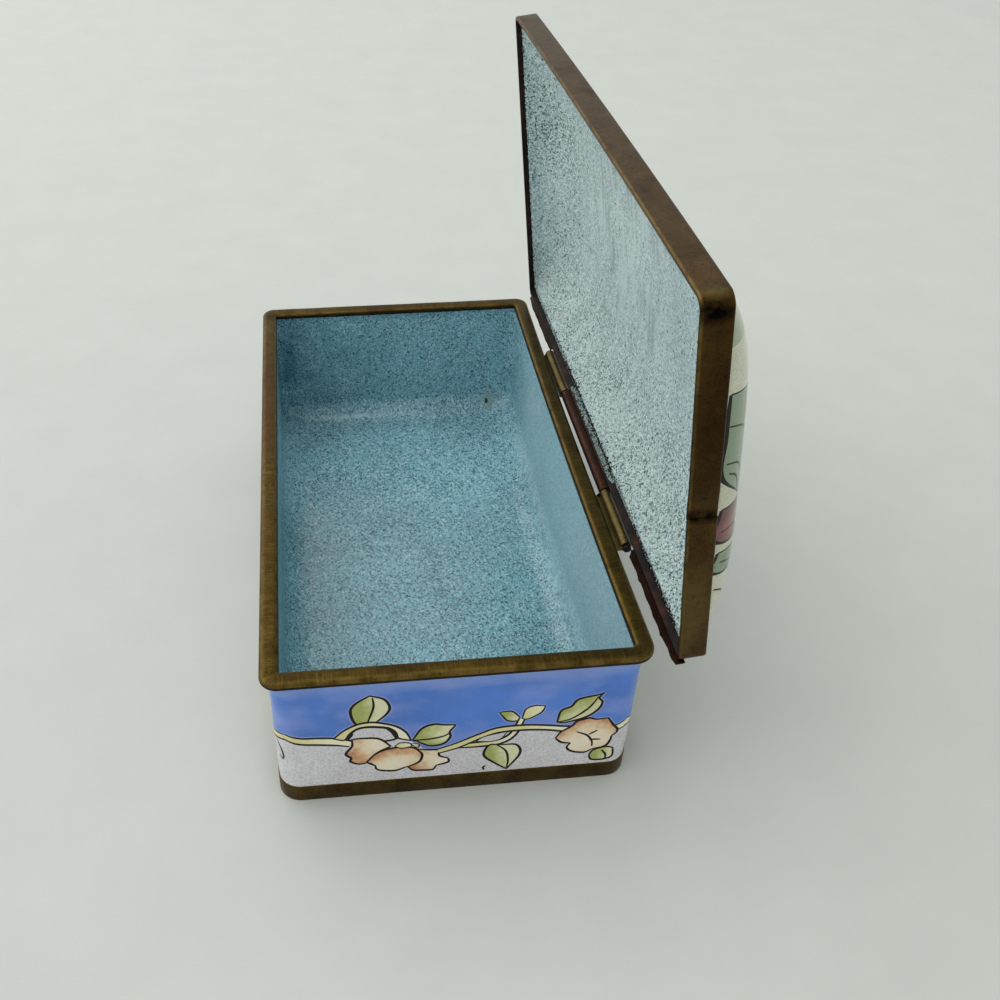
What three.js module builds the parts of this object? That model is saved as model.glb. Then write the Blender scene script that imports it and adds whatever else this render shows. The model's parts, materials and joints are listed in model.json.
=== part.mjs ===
// A hinged trinket box of enamelled copper: an open tray bound with a brass mouth rim and a brass
// foot band, and a pillow-shaped lid panel set in a brass band, standing open on a three-knuckle hinge.
// Millimetres, +Z up. X runs along the hinge, +Y points to the hinge side, and the origin is in the
// middle of the underside. The lid is built closed, about the hinge line, and then swung open.
import * as THREE from 'three';

// Driving dimensions of the box
const RIM_LENGTH = 108;
const RIM_WIDTH = 58;
const RIM_TOP = 28.6;
const RIM_FACE = 2.9;
const RIM_OUTER_DROP = 1.25;
const RIM_INNER_DROP = 1.2;
const RIM_EDGE_ROUND = 0.8;
const RIM_PLATE = 0.6;
const RIM_OVERHANG = 1.2;
const WALL = 1.2;
const WALL_CORNER = 3.4;
const INNER_CORNER = 1.5;
const FLOOR_TOP = 1.4;
const COVE = 5;
const FOOT_HEIGHT = 3.35;
const FOOT_THICKNESS = 0.6;
const FOOT_PROUD = 0.15;
const HINGE_SIDE_BOW = 0.5;

// Driving dimensions of the lid
const LID_OVERHANG = 1.0;
const LID_SLIDE = 0.9;
const LID_BAND_HEIGHT = 4.0;
const LID_BAND_THICKNESS = 0.7;
const LID_LIP_WIDTH = 1.3;
const LID_LIP_THICKNESS = 0.4;
const LID_CLEARANCE = 0.15;
const LID_FREE_SIDE_BOW = 0.6;
const PANEL_RECESS = 1.3;
const PANEL_THICKNESS = 1.1;
const HOLLOW_INSET = 2.0;
const DOME_SHOULDER = 6.4;
const DOME_CROWN = 1.5;
const DOME_POWER_LONG = 11;
const DOME_POWER_SHORT = 5.2;
const DOME_END_EXPONENT = 0.58;

// Driving dimensions of the hinge
const LID_ANGLE = 83;
const HINGE_SKEW = 0.5;
const HINGE_DROP = 0.4;
const KNUCKLE_RADIUS = 0.95;
const KNUCKLE_BORE = 0.56;
const PIN_RADIUS = 0.44;
const LID_KNUCKLE = [-15.4, 15.2];
const FAR_KNUCKLE = [-30.4, -15.7];
const NEAR_KNUCKLE = [15.5, 29.4];
const PIN = [-30.9, 30.0];
const BASE_STRAP = [-0.85, -0.35];
const LID_STRAP_HEIGHT = 2.0;
const LID_STRAP_THICKNESS = 0.5;

// Corner radii in plan, in the order near hinge, far hinge, far front, near front
const RIM_CORNERS = [3.6, 2.6, 2.4, 2.7];
const LID_CORNERS = [1.2, 1.6, 1.4, 1.9];

const GAP = 0.05;
const SMALLEST_CORNER = 0.4;
const CORNER_STEPS = 5;
const LONG_SIDE_STEPS = 8;
const SHORT_SIDE_STEPS = 4;

const hingeY = RIM_WIDTH / 2 + KNUCKLE_RADIUS + GAP;
const hingeZ = RIM_TOP - HINGE_DROP;
const rimSize = { halfX: RIM_LENGTH / 2, halfY: RIM_WIDTH / 2, corners: RIM_CORNERS };
const wallSize = {
  halfX: RIM_LENGTH / 2 - RIM_OVERHANG,
  halfY: RIM_WIDTH / 2 - RIM_OVERHANG,
  corners: [WALL_CORNER, WALL_CORNER, WALL_CORNER, WALL_CORNER],
};
const lidSize = {
  halfX: RIM_LENGTH / 2 + LID_OVERHANG,
  halfY: (RIM_WIDTH + LID_OVERHANG) / 2,
  corners: LID_CORNERS,
};

// The outline of a rounded rectangle, anticlockwise from above, moved in from its sides by inset
function outline(size, inset, cornerOf) {
  const halfX = size.halfX - inset;
  const halfY = size.halfY - inset;
  const signs = [[1, 1], [-1, 1], [-1, -1], [1, -1]];
  const points = [];
  signs.forEach(([signX, signY], corner) => {
    const radius = cornerOf(size.corners[corner], inset);
    for (let step = 0; step <= CORNER_STEPS; step += 1) {
      const angle = (corner + step / CORNER_STEPS) * Math.PI / 2;
      points.push([
        signX * (halfX - radius) + radius * Math.cos(angle),
        signY * (halfY - radius) + radius * Math.sin(angle),
      ]);
    }
    const next = (corner + 1) % 4;
    const nextRadius = cornerOf(size.corners[next], inset);
    const nextAngle = next * Math.PI / 2;
    const end = [
      signs[next][0] * (halfX - nextRadius) + nextRadius * Math.cos(nextAngle),
      signs[next][1] * (halfY - nextRadius) + nextRadius * Math.sin(nextAngle),
    ];
    const start = points[points.length - 1];
    const steps = corner % 2 === 0 ? LONG_SIDE_STEPS : SHORT_SIDE_STEPS;
    for (let step = 1; step < steps; step += 1) {
      const share = step / steps;
      points.push([
        start[0] + (end[0] - start[0]) * share,
        start[1] + (end[1] - start[1]) * share,
      ]);
    }
  });
  return points;
}

// A corner that shrinks as the outline moves in
function shrunkCorner(radius, inset) {
  return Math.max(SMALLEST_CORNER, radius - inset);
}

// A corner that grows as the outline moves in, for the cove of a tray
function grownCorner(radius, inset) {
  return radius + inset / 2;
}

// One closed ring of points; height is a number or a function of the plan position. A long side
// may bow: the back one inwards and the front one outwards, both towards -Y, most at mid-length.
function ring(size, inset, height, cornerOf = shrunkCorner) {
  return outline(size, inset, cornerOf).map(([x, y]) => {
    const bulge = (1 - (x / size.halfX) ** 2) * Math.abs(y) / size.halfY;
    const bow = y > 0 ? size.backBow ?? 0 : size.frontBow ?? 0;
    const z = typeof height === 'number' ? height : height(x, y);
    return new THREE.Vector3(x, y - bow * bulge, z);
  });
}

// A closed solid through rings of equal count. A hoop joins its last ring to its first one;
// otherwise the two ends are closed by fans to their centre points.
function solidThroughRings(rings, isHoop) {
  const count = rings[0].length;
  const positions = rings.flat().flatMap((point) => point.toArray());
  const faces = [];
  const lastRing = isHoop ? rings.length : rings.length - 1;
  for (let level = 0; level < lastRing; level += 1) {
    const lower = level * count;
    const upper = ((level + 1) % rings.length) * count;
    for (let step = 0; step < count; step += 1) {
      const next = (step + 1) % count;
      faces.push(lower + step, lower + next, upper + next);
      faces.push(lower + step, upper + next, upper + step);
    }
  }
  if (!isHoop) {
    [0, rings.length - 1].forEach((level) => {
      const centre = new THREE.Vector3();
      rings[level].forEach((point) => centre.addScaledVector(point, 1 / count));
      const hub = positions.length / 3;
      positions.push(...centre.toArray());
      for (let step = 0; step < count; step += 1) {
        const next = (step + 1) % count;
        const here = level * count;
        if (level === 0) faces.push(hub, here + next, here + step);
        else faces.push(hub, here + step, here + next);
      }
    });
  }
  const geometry = new THREE.BufferGeometry();
  geometry.setAttribute('position', new THREE.Float32BufferAttribute(positions, 3));
  geometry.setIndex(faces);
  facesOutward(geometry);
  geometry.computeVertexNormals();
  return geometry;
}

// Turns every face over when the enclosed volume comes out negative
function facesOutward(geometry) {
  const position = geometry.getAttribute('position');
  const index = geometry.getIndex();
  const [a, b, c] = [new THREE.Vector3(), new THREE.Vector3(), new THREE.Vector3()];
  let volume = 0;
  for (let face = 0; face < index.count; face += 3) {
    a.fromBufferAttribute(position, index.getX(face));
    b.fromBufferAttribute(position, index.getX(face + 1));
    c.fromBufferAttribute(position, index.getX(face + 2));
    volume += a.dot(b.cross(c)) / 6;
  }
  if (volume > 0) return;
  for (let face = 0; face < index.count; face += 3) {
    const second = index.getX(face + 1);
    index.setX(face + 1, index.getX(face + 2));
    index.setX(face + 2, second);
  }
}

function finish(colour, roughness, metalness) {
  return new THREE.MeshStandardMaterial({ color: colour, roughness, metalness });
}

function piece(name, geometry, material) {
  const mesh = new THREE.Mesh(geometry, material);
  mesh.name = name;
  return mesh;
}

// The enamelled copper tray: its foot is set back for the foot band, and its floor is coved
function enamelTray() {
  const size = { ...wallSize, backBow: HINGE_SIDE_BOW };
  const inside = {
    ...size,
    halfX: size.halfX - WALL,
    halfY: size.halfY - WALL,
    corners: [INNER_CORNER, INNER_CORNER, INNER_CORNER, INNER_CORNER],
  };
  const setBack = FOOT_THICKNESS - FOOT_PROUD + GAP;
  const edgeRound = 0.3;
  const wallTop = RIM_TOP - RIM_PLATE - GAP;
  const rings = [
    ring(size, setBack + edgeRound, 0),
    ring(size, setBack, edgeRound),
    ring(size, setBack, FOOT_HEIGHT + GAP),
    ring(size, 0, FOOT_HEIGHT + GAP),
    ring(size, 0, wallTop),
    ring(inside, 0, wallTop, grownCorner),
  ];
  const coveSteps = 5;
  for (let step = 0; step <= coveSteps; step += 1) {
    const angle = step / coveSteps * Math.PI / 2;
    const inset = COVE * (1 - Math.cos(angle));
    rings.push(ring(inside, inset, FLOOR_TOP + COVE * (1 - Math.sin(angle)), grownCorner));
  }
  return piece('enamelled_copper_tray', solidThroughRings(rings, false), finish(0x5f8fb4, 0.32, 0));
}

// The brass rim caps the edge of the tray's wall: rounded outside, with a groove that takes the wall
function mouthRim() {
  const size = { ...rimSize, backBow: HINGE_SIDE_BOW };
  const grooveOutside = { ...wallSize, backBow: HINGE_SIDE_BOW };
  const grooveInside = {
    ...grooveOutside,
    halfX: wallSize.halfX - WALL,
    halfY: wallSize.halfY - WALL,
    corners: [INNER_CORNER, INNER_CORNER, INNER_CORNER, INNER_CORNER],
  };
  const rings = [ring(size, 0.2, RIM_TOP - RIM_OUTER_DROP)];
  const roundSteps = 4;
  for (let step = 0; step <= roundSteps; step += 1) {
    const angle = step / roundSteps * Math.PI / 2;
    const inset = RIM_EDGE_ROUND * (1 - Math.cos(angle));
    rings.push(ring(size, inset, RIM_TOP - RIM_EDGE_ROUND * (1 - Math.sin(angle))));
  }
  const innerRound = RIM_EDGE_ROUND / 2;
  rings.push(
    ring(size, RIM_FACE - innerRound, RIM_TOP),
    ring(size, RIM_FACE - innerRound * 0.3, RIM_TOP - innerRound * 0.3),
    ring(size, RIM_FACE, RIM_TOP - innerRound),
    ring(size, RIM_FACE, RIM_TOP - RIM_INNER_DROP),
    ring(grooveInside, GAP, RIM_TOP - RIM_INNER_DROP),
    ring(grooveInside, GAP, RIM_TOP - RIM_PLATE),
    ring(grooveOutside, -GAP, RIM_TOP - RIM_PLATE),
    ring(grooveOutside, -GAP, RIM_TOP - RIM_OUTER_DROP),
  );
  return piece('brass_mouth_rim', solidThroughRings(rings, true), finish(0x6b5a2c, 0.42, 1));
}

// The brass foot band: a strip around the foot of the wall, flush with the underside
function footBand() {
  const size = { ...wallSize, backBow: HINGE_SIDE_BOW };
  const bevel = 0.15;
  const inner = FOOT_THICKNESS - FOOT_PROUD;
  const rings = [
    ring(size, -FOOT_PROUD + bevel, 0),
    ring(size, -FOOT_PROUD, bevel),
    ring(size, -FOOT_PROUD, FOOT_HEIGHT - bevel),
    ring(size, -FOOT_PROUD + bevel, FOOT_HEIGHT),
    ring(size, inner, FOOT_HEIGHT),
    ring(size, inner, 0),
  ];
  return piece('brass_foot_band', solidThroughRings(rings, true), finish(0x4a3a20, 0.5, 1));
}

// The brass band around the lid, with a lip turned in over the edge of the panel
function lidBand() {
  const size = { ...lidSize, frontBow: LID_FREE_SIDE_BOW };
  const bevel = 0.15;
  const lipBottom = LID_BAND_HEIGHT - LID_LIP_THICKNESS;
  const rings = [
    ring(size, bevel, 0),
    ring(size, 0, bevel),
    ring(size, 0, LID_BAND_HEIGHT - 2 * bevel),
    ring(size, 2 * bevel, LID_BAND_HEIGHT),
    ring(size, LID_LIP_WIDTH, LID_BAND_HEIGHT),
    ring(size, LID_LIP_WIDTH, lipBottom),
    ring(size, LID_BAND_THICKNESS, lipBottom),
    ring(size, LID_BAND_THICKNESS, 0),
  ];
  return piece('brass_lid_band', solidThroughRings(rings, true), finish(0x553f22, 0.45, 1));
}

// How far the pillow has risen at a plan position: 0 at its edge and 1 in its middle
function pillow(x, y, halfX, halfY) {
  const sideX = Math.min(1, Math.abs(x / halfX));
  const sideY = Math.min(1, Math.abs(y / halfY));
  const ends = (1 - sideX ** DOME_POWER_LONG) ** DOME_END_EXPONENT;
  const body = ends * (1 - sideY ** DOME_POWER_SHORT);
  const crown = (1 - sideX ** 2) * (1 - sideY ** 2);
  const height = DOME_SHOULDER * body + DOME_CROWN * crown;
  return height / (DOME_SHOULDER + DOME_CROWN);
}

// The pressed copper panel of the lid, enamelled inside and out: a pillow with a hollow underneath
function lidPanel() {
  const size = { ...lidSize, frontBow: LID_FREE_SIDE_BOW };
  const cornerOf = (radius, inset) => {
    const softened = Math.max(SMALLEST_CORNER, radius - inset) + inset * 0.35;
    return Math.min(softened, 0.9 * (lidSize.halfY - inset));
  };
  const edge = LID_BAND_THICKNESS + GAP;
  const domeEdge = LID_LIP_WIDTH + GAP;
  const shoulderFoot = LID_BAND_HEIGHT - LID_LIP_THICKNESS - GAP;
  const domeRise = DOME_SHOULDER + DOME_CROWN;
  const hollowRise = shoulderFoot + domeRise - PANEL_THICKNESS - PANEL_RECESS;
  const dome = (x, y) => shoulderFoot
    + domeRise * pillow(x, y, size.halfX - domeEdge, size.halfY - domeEdge);
  const hollow = (x, y) => PANEL_RECESS
    + hollowRise * pillow(x, y, size.halfX - HOLLOW_INSET, size.halfY - HOLLOW_INSET);
  const stepsIn = [0.3, 0.9, 1.9, 3.4, 5.6, 8.8, 13, 18.5, 24.5];
  const rings = [];
  stepsIn.toReversed().forEach((step) => {
    rings.push(ring(size, HOLLOW_INSET + step, hollow, cornerOf));
  });
  rings.push(
    ring(size, HOLLOW_INSET, PANEL_RECESS, cornerOf),
    ring(size, edge, PANEL_RECESS, cornerOf),
    ring(size, edge, shoulderFoot, cornerOf),
    ring(size, domeEdge, shoulderFoot, cornerOf),
  );
  stepsIn.forEach((step) => rings.push(ring(size, domeEdge + step, dome, cornerOf)));
  return piece('enamelled_lid_panel', solidThroughRings(rings, false), finish(0xa9c4c6, 0.25, 0));
}

// Extrudes a section drawn in the YZ plane along X, from one end to the other
function extrudeAlongX(section, [start, end]) {
  const geometry = new THREE.ExtrudeGeometry(section, {
    depth: end - start,
    bevelEnabled: false,
    curveSegments: 18,
  });
  const toX = new THREE.Matrix4().makeBasis(
    new THREE.Vector3(0, 1, 0),
    new THREE.Vector3(0, 0, 1),
    new THREE.Vector3(1, 0, 0),
  );
  geometry.applyMatrix4(toX);
  geometry.translate(start, 0, 0);
  return geometry;
}

function withBore(section) {
  const bore = new THREE.Path();
  bore.absarc(0, 0, KNUCKLE_BORE, 0, Math.PI * 2, true);
  section.holes.push(bore);
  return section;
}

// A base knuckle: a tube with a short strap that reaches the outer face of the mouth rim
function baseKnuckle(name, span) {
  const toRim = span.map((x) => {
    const skewShift = x * Math.tan(THREE.MathUtils.degToRad(HINGE_SKEW));
    const bow = HINGE_SIDE_BOW * (1 - (x / (RIM_LENGTH / 2)) ** 2);
    return hingeY + skewShift - (RIM_WIDTH / 2 - bow);
  });
  const reach = Math.min(...toRim) - GAP;
  const [low, high] = BASE_STRAP;
  const startAngle = Math.PI + Math.asin(-low / KNUCKLE_RADIUS);
  const endAngle = 3 * Math.PI + Math.asin(-high / KNUCKLE_RADIUS);
  const section = new THREE.Shape();
  section.moveTo(-reach, high);
  section.lineTo(-reach, low);
  section.absarc(0, 0, KNUCKLE_RADIUS, startAngle, endAngle, false);
  section.closePath();
  return piece(name, extrudeAlongX(withBore(section), span), finish(0x6f6133, 0.45, 1));
}

// The lid's knuckle: a long tube with a strap that lies against the outer face of the lid band
function lidKnuckle() {
  const strapInside = -KNUCKLE_RADIUS + LID_STRAP_THICKNESS;
  const endAngle = 3 * Math.PI - Math.acos(-strapInside / KNUCKLE_RADIUS);
  const section = new THREE.Shape();
  section.moveTo(-KNUCKLE_RADIUS, LID_STRAP_HEIGHT);
  section.absarc(0, 0, KNUCKLE_RADIUS, Math.PI, endAngle, false);
  section.lineTo(strapInside, LID_STRAP_HEIGHT);
  section.closePath();
  const tube = extrudeAlongX(withBore(section), LID_KNUCKLE);
  return piece('lid_hinge_knuckle', tube, finish(0x5a3a26, 0.5, 1));
}

// The pin through the three knuckles, with chamfered ends
function hingePin() {
  const [start, end] = PIN;
  const chamfer = 0.12;
  const profile = [
    new THREE.Vector2(0, start),
    new THREE.Vector2(PIN_RADIUS - chamfer, start),
    new THREE.Vector2(PIN_RADIUS, start + chamfer),
    new THREE.Vector2(PIN_RADIUS, end - chamfer),
    new THREE.Vector2(PIN_RADIUS - chamfer, end),
    new THREE.Vector2(0, end),
  ];
  const geometry = new THREE.LatheGeometry(profile, 18);
  geometry.rotateZ(-Math.PI / 2);
  return piece('hinge_pin', geometry, finish(0x2c241c, 0.55, 1));
}

const box = new THREE.Group();
box.add(enamelTray(), mouthRim(), footBand());

// The hinge line stands a little askew to the rim, as the soldered knuckles of the real box do
const hingeLine = new THREE.Group();
hingeLine.position.set(0, hingeY, hingeZ);
hingeLine.rotation.z = THREE.MathUtils.degToRad(HINGE_SKEW);
hingeLine.add(
  baseKnuckle('far_base_knuckle', FAR_KNUCKLE),
  baseKnuckle('near_base_knuckle', NEAR_KNUCKLE),
  hingePin(),
);
box.add(hingeLine);

const lid = new THREE.Group();
lid.rotation.x = -THREE.MathUtils.degToRad(LID_ANGLE);
const lidPlan = new THREE.Group();
lidPlan.position.set(LID_SLIDE, RIM_WIDTH / 2 - hingeY - lidSize.halfY, RIM_TOP + LID_CLEARANCE - hingeZ);
lidPlan.add(lidBand(), lidPanel());
lid.add(lidKnuckle(), lidPlan);
hingeLine.add(lid);

export default box;
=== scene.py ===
"""Dresses the enamelled trinket box: painted and speckled enamel, aged brass, hinge, stage and camera."""
import json
import math

import bpy
import numpy as np
from bpy.props import FloatProperty, FloatVectorProperty, PointerProperty
from mathutils import Matrix, Vector, noise
from mathutils.geometry import delaunay_2d_cdt


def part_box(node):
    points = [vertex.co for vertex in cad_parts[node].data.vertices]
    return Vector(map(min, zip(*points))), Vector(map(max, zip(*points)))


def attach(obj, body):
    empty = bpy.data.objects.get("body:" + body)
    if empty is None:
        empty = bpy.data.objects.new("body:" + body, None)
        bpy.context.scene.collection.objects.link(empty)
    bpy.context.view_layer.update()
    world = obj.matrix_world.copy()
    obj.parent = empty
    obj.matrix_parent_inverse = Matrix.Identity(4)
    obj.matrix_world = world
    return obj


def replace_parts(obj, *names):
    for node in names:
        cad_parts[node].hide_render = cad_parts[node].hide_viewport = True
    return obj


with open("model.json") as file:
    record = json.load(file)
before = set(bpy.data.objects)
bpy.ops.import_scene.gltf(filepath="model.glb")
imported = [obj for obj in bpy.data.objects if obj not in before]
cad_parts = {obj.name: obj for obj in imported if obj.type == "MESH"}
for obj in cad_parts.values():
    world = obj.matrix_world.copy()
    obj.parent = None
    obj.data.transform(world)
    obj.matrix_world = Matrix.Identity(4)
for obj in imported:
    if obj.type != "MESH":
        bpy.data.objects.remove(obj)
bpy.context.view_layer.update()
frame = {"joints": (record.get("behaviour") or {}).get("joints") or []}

bl_info = {
    "name": "Enamelled trinket box",
    "version": (1, 0, 0),
    "blender": (4, 5, 0),
    "location": "View3D > Sidebar > Trinket box",
    "description": "Dresses a hinged copper box in painted enamel and aged brass",
    "category": "Object",
}

# Shapes are worked out in millimetres and made in metres
MM = 0.001


def node_size(name):
    """Half length, half width (to the front, which is straight), bottom and top of a CAD node about
    the origin, in millimetres."""
    low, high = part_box(name)
    return (high.x - low.x) / 2 / MM, -low.y / MM, low.z / MM, high.z / MM


RIM_HALF_X, RIM_HALF_Y, _, RIM_TOP = node_size("brass_mouth_rim")
WALL_HALF_X, WALL_HALF_Y, _, WALL_TOP = node_size("enamelled_copper_tray")
FOOT_HALF_X, FOOT_HALF_Y, _, FOOT_TOP = node_size("brass_foot_band")
BACK_BOW = 0.5
WALL_CORNER = 3.4
WALL_FOOT = 3.4
INNER_CORNER = 1.5
# Where the rim's mitre at the near left corner and its hairline seam on the far side dip
RIM_CREASES = ((51.2, -26.6), (52.0, -27.3), (52.8, -28.0), (-52.3, -0.3), (-51.4, -0.3), (-50.5, -0.3))
CREASE_RADIUS = 0.45
CREASE_DEPTH = 0.1
# How often the painted border repeats around the wall
BORDER_REPEATS = 6

# Corner radii: near and far on the hinge side, then far and near on the front
RIM_CORNERS = (3.6, 2.6, 2.4, 2.7)
LID_CORNERS = (1.2, 1.6, 1.4, 1.9)
LID_HALF_X = RIM_HALF_X + 1.0
LID_HALF_Y = RIM_HALF_Y + 0.5
LID_SLIDE = 0.9
LID_RISE = 0.55
LID_FRONT_BOW = 0.6
# Where the lid band's lapped seam is, and how far and how deep one end of the strip runs in under the other
LID_SEAM = 2.5
LAP_RUN = 7
LAP_STEP = 0.24
BAND_HEIGHT = 4.0
PANEL_RECESS = 1.3
PANEL_EDGE = 1.35
DOME_FOOT = 3.55
DOME_SHOULDER = 6.4
DOME_CROWN = 1.5
HOLLOW_RISE = 9.05
HOLLOW_INSET = 2.0
DOME_POWER_LONG = 11
DOME_POWER_SHORT = 5.2
DOME_END_EXPONENT = 0.58

KNUCKLE_RADIUS = 0.95
LEAF_THICKNESS = 0.37
PIN_RADIUS = 0.44
LID_KNUCKLE = (-15.4, 15.2)
FAR_KNUCKLE = (-30.4, -15.7)
NEAR_KNUCKLE = (15.5, 29.4)
PIN = (-30.9, 30.0)
JOINT = frame["joints"][0]


def linear(code):
    """The linear colour of an sRGB hex value."""
    parts = [int(code[i:i + 2], 16) / 255 for i in (1, 3, 5)]
    return tuple(c / 12.92 if c <= 0.04045 else ((c + 0.055) / 1.055) ** 2.4 for c in parts)


def pin_line():
    """The hinge's own frame, in millimetres, with its x axis along the pin and without the lid's turn."""
    axis = -Vector(JOINT["axis"])
    skew = Matrix.Rotation(math.atan2(axis.y, axis.x), 4, "Z")
    return Matrix.Translation(Vector(JOINT["pos_m"]) / MM) @ skew


PIN_LINE = pin_line()
# HINGE has the open lid's turn, and LID takes the closed lid's plan, in millimetres, to where it stands
HINGE = PIN_LINE @ Matrix.Rotation(math.radians(JOINT["range_deg"][0]), 4, "X")
LID = HINGE @ Matrix.Translation((LID_SLIDE, -1.0 - LID_HALF_Y, LID_RISE))


class Plan:
    """A rounded rectangle seen from above, whose long sides may bow. Its length s runs anticlockwise
    from the middle of the near side (+X); the back side is the hinge side (+Y)."""

    def __init__(self, half_x, half_y, corners, back_bow=0.0, front_bow=0.0):
        self.half_x = half_x
        self.half_y = half_y
        self.corners = corners
        self.bows = {1: back_bow, -1: front_bow}
        hinge_near, hinge_far, front_far, front_near = corners
        turn = math.pi / 2
        self.lengths = [
            half_y - hinge_near, hinge_near * turn,
            2 * half_x - hinge_near - hinge_far, hinge_far * turn,
            2 * half_y - hinge_far - front_far, front_far * turn,
            2 * half_x - front_far - front_near, front_near * turn,
            half_y - front_near,
        ]
        self.starts = [sum(self.lengths[:i]) for i in range(len(self.lengths))]
        self.length = sum(self.lengths)

    def stretch_at(self, s):
        """Which side or corner length s lies on, and its share of that stretch."""
        s %= self.length
        stretch = max(i for i, start in enumerate(self.starts) if start <= s + 1e-9)
        return stretch, min(1.0, (s - self.starts[stretch]) / self.lengths[stretch])

    def point(self, s, inset, corner_of):
        """The plan position at length s on the outline moved in from its sides by inset."""
        stretch, share = self.stretch_at(s)
        if stretch % 2:
            corner = stretch // 2
            angle = (corner + share) * math.pi / 2
            x, y = self.on_corner(corner, angle, inset, corner_of)
        else:
            before, after = (stretch // 2 - 1) % 4, (stretch // 2) % 4
            angle = stretch // 2 * math.pi / 2
            start = self.on_corner(before, angle, inset, corner_of)
            end = self.on_corner(after, angle, inset, corner_of)
            if stretch == 0:
                start = (end[0], 0.0)
            if stretch == 8:
                end = (start[0], 0.0)
            x = start[0] + (end[0] - start[0]) * share
            y = start[1] + (end[1] - start[1]) * share
        return self.bowed(x, y)

    def on_corner(self, corner, angle, inset, corner_of):
        """A point on a corner's arc; corner_of gives its radius from the corner's own and the inset."""
        sign_x = (1, -1, -1, 1)[corner]
        sign_y = (1, 1, -1, -1)[corner]
        radius = corner_of(self.corners[corner], inset)
        return (
            sign_x * (self.half_x - inset - radius) + radius * math.cos(angle),
            sign_y * (self.half_y - inset - radius) + radius * math.sin(angle),
        )

    def bowed(self, x, y):
        """The position, moved with the bow of the long side that it is nearer to."""
        bulge = (1 - (x / self.half_x) ** 2) * abs(y) / self.half_y
        return x, y - self.bows[1 if y > 0 else -1] * bulge

    def stations(self, spacing, corner_steps, extra=()):
        """Lengths along the outline, closer together in its corners."""
        values = set(extra)
        for i, (start, length) in enumerate(zip(self.starts, self.lengths)):
            steps = corner_steps if i % 2 else max(1, round(length / spacing))
            values.update(start + length * k / steps for k in range(steps))
        return sorted(value % self.length for value in values)

    def ring(self, stations, inset, height, corner_of):
        """Points around the outline at one height."""
        return [(*self.point(s, inset, corner_of), height) for s in stations]


def shrunk(radius, inset):
    """A corner that shrinks as the outline moves in."""
    return max(0.4, radius - inset)


def grown(radius, inset):
    """A corner that grows as the outline moves in, for the cove of the tray."""
    return radius + inset / 2


def softened(radius, inset):
    """A corner of the lid's panel, which grows rounder towards the middle."""
    return min(max(0.4, radius - inset) + inset * 0.35, 0.9 * (LID_HALF_Y - inset))


def new_object(name, data):
    """An object at the origin, unturned, in the scene."""
    made = bpy.data.objects.new(name, data)
    bpy.context.scene.collection.objects.link(made)
    return made


class Skin:
    """Collects the points and faces of one piece, in millimetres, with the paint on each face."""

    def __init__(self):
        self.points = []
        self.faces = []
        self.paints = []
        self.motifs = {}
        self.sweeps = {}

    def ring(self, points):
        """Adds points and gives their numbers."""
        first = len(self.points)
        self.points.extend(points)
        return list(range(first, len(self.points)))

    def face(self, corners, paint):
        self.faces.append(corners)
        self.paints.append(paint)

    def bridge(self, lower, upper, paint):
        """Faces between two rings that run the same way round."""
        count = len(lower)
        for i in range(count):
            k = (i + 1) % count
            self.face((lower[i], lower[k], upper[k], upper[i]), paint)

    def cap(self, ring, paint, turned=False):
        """Closes a ring with faces to its middle."""
        middle = np.mean([self.points[i] for i in ring], axis=0)
        hub = self.ring([tuple(middle)])[0]
        for i, here in enumerate(ring):
            there = ring[(i + 1) % len(ring)]
            self.face((there, here, hub) if turned else (here, there, hub), paint)

    def grow(self, last, ring, paint):
        """Joins a ring to the last one, or closes it where it is the first, and gives it back."""
        if last is None:
            self.cap(ring, paint, turned=True)
        else:
            self.bridge(last, ring, paint)
        return ring

    def make(self, name, materials, matrix=None, sharp=40):
        """Turns the skin into an object at the origin; paints are indices into materials."""
        matrix = matrix or Matrix()
        mesh = bpy.data.meshes.new(name)
        mesh.from_pydata([(matrix @ Vector(p)) * MM for p in self.points], [], self.faces)
        for material in materials:
            mesh.materials.append(material)
        mesh.polygons.foreach_set("material_index", self.paints)
        mesh.shade_smooth()
        mesh.set_sharp_from_angle(angle=math.radians(sharp))
        if self.motifs:
            values = np.zeros((len(mesh.loops), 3), np.float32)
            for i, polygon in enumerate(mesh.polygons):
                if i in self.motifs:
                    start = polygon.loop_start
                    values[start:start + 3] = self.motifs[i]
            motif = mesh.attributes.new("motif", "FLOAT_VECTOR", "CORNER")
            motif.data.foreach_set("vector", values.ravel())
        if self.sweeps:
            uv = mesh.uv_layers.new(name="sweep")
            for i, polygon in enumerate(mesh.polygons):
                for loop, value in zip(polygon.loop_indices, self.sweeps[i]):
                    uv.data[loop].uv = (value[0] * MM, value[1] * MM)
        mesh.validate()
        mesh.update()
        return new_object(name, mesh)


def run_lengths(profile):
    """How far around a closed profile each of its points lies, and then its whole length."""
    across = [0.0]
    for a, b in zip(profile, profile[1:] + profile[:1]):
        across.append(across[-1] + math.dist(a, b))
    return across


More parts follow.
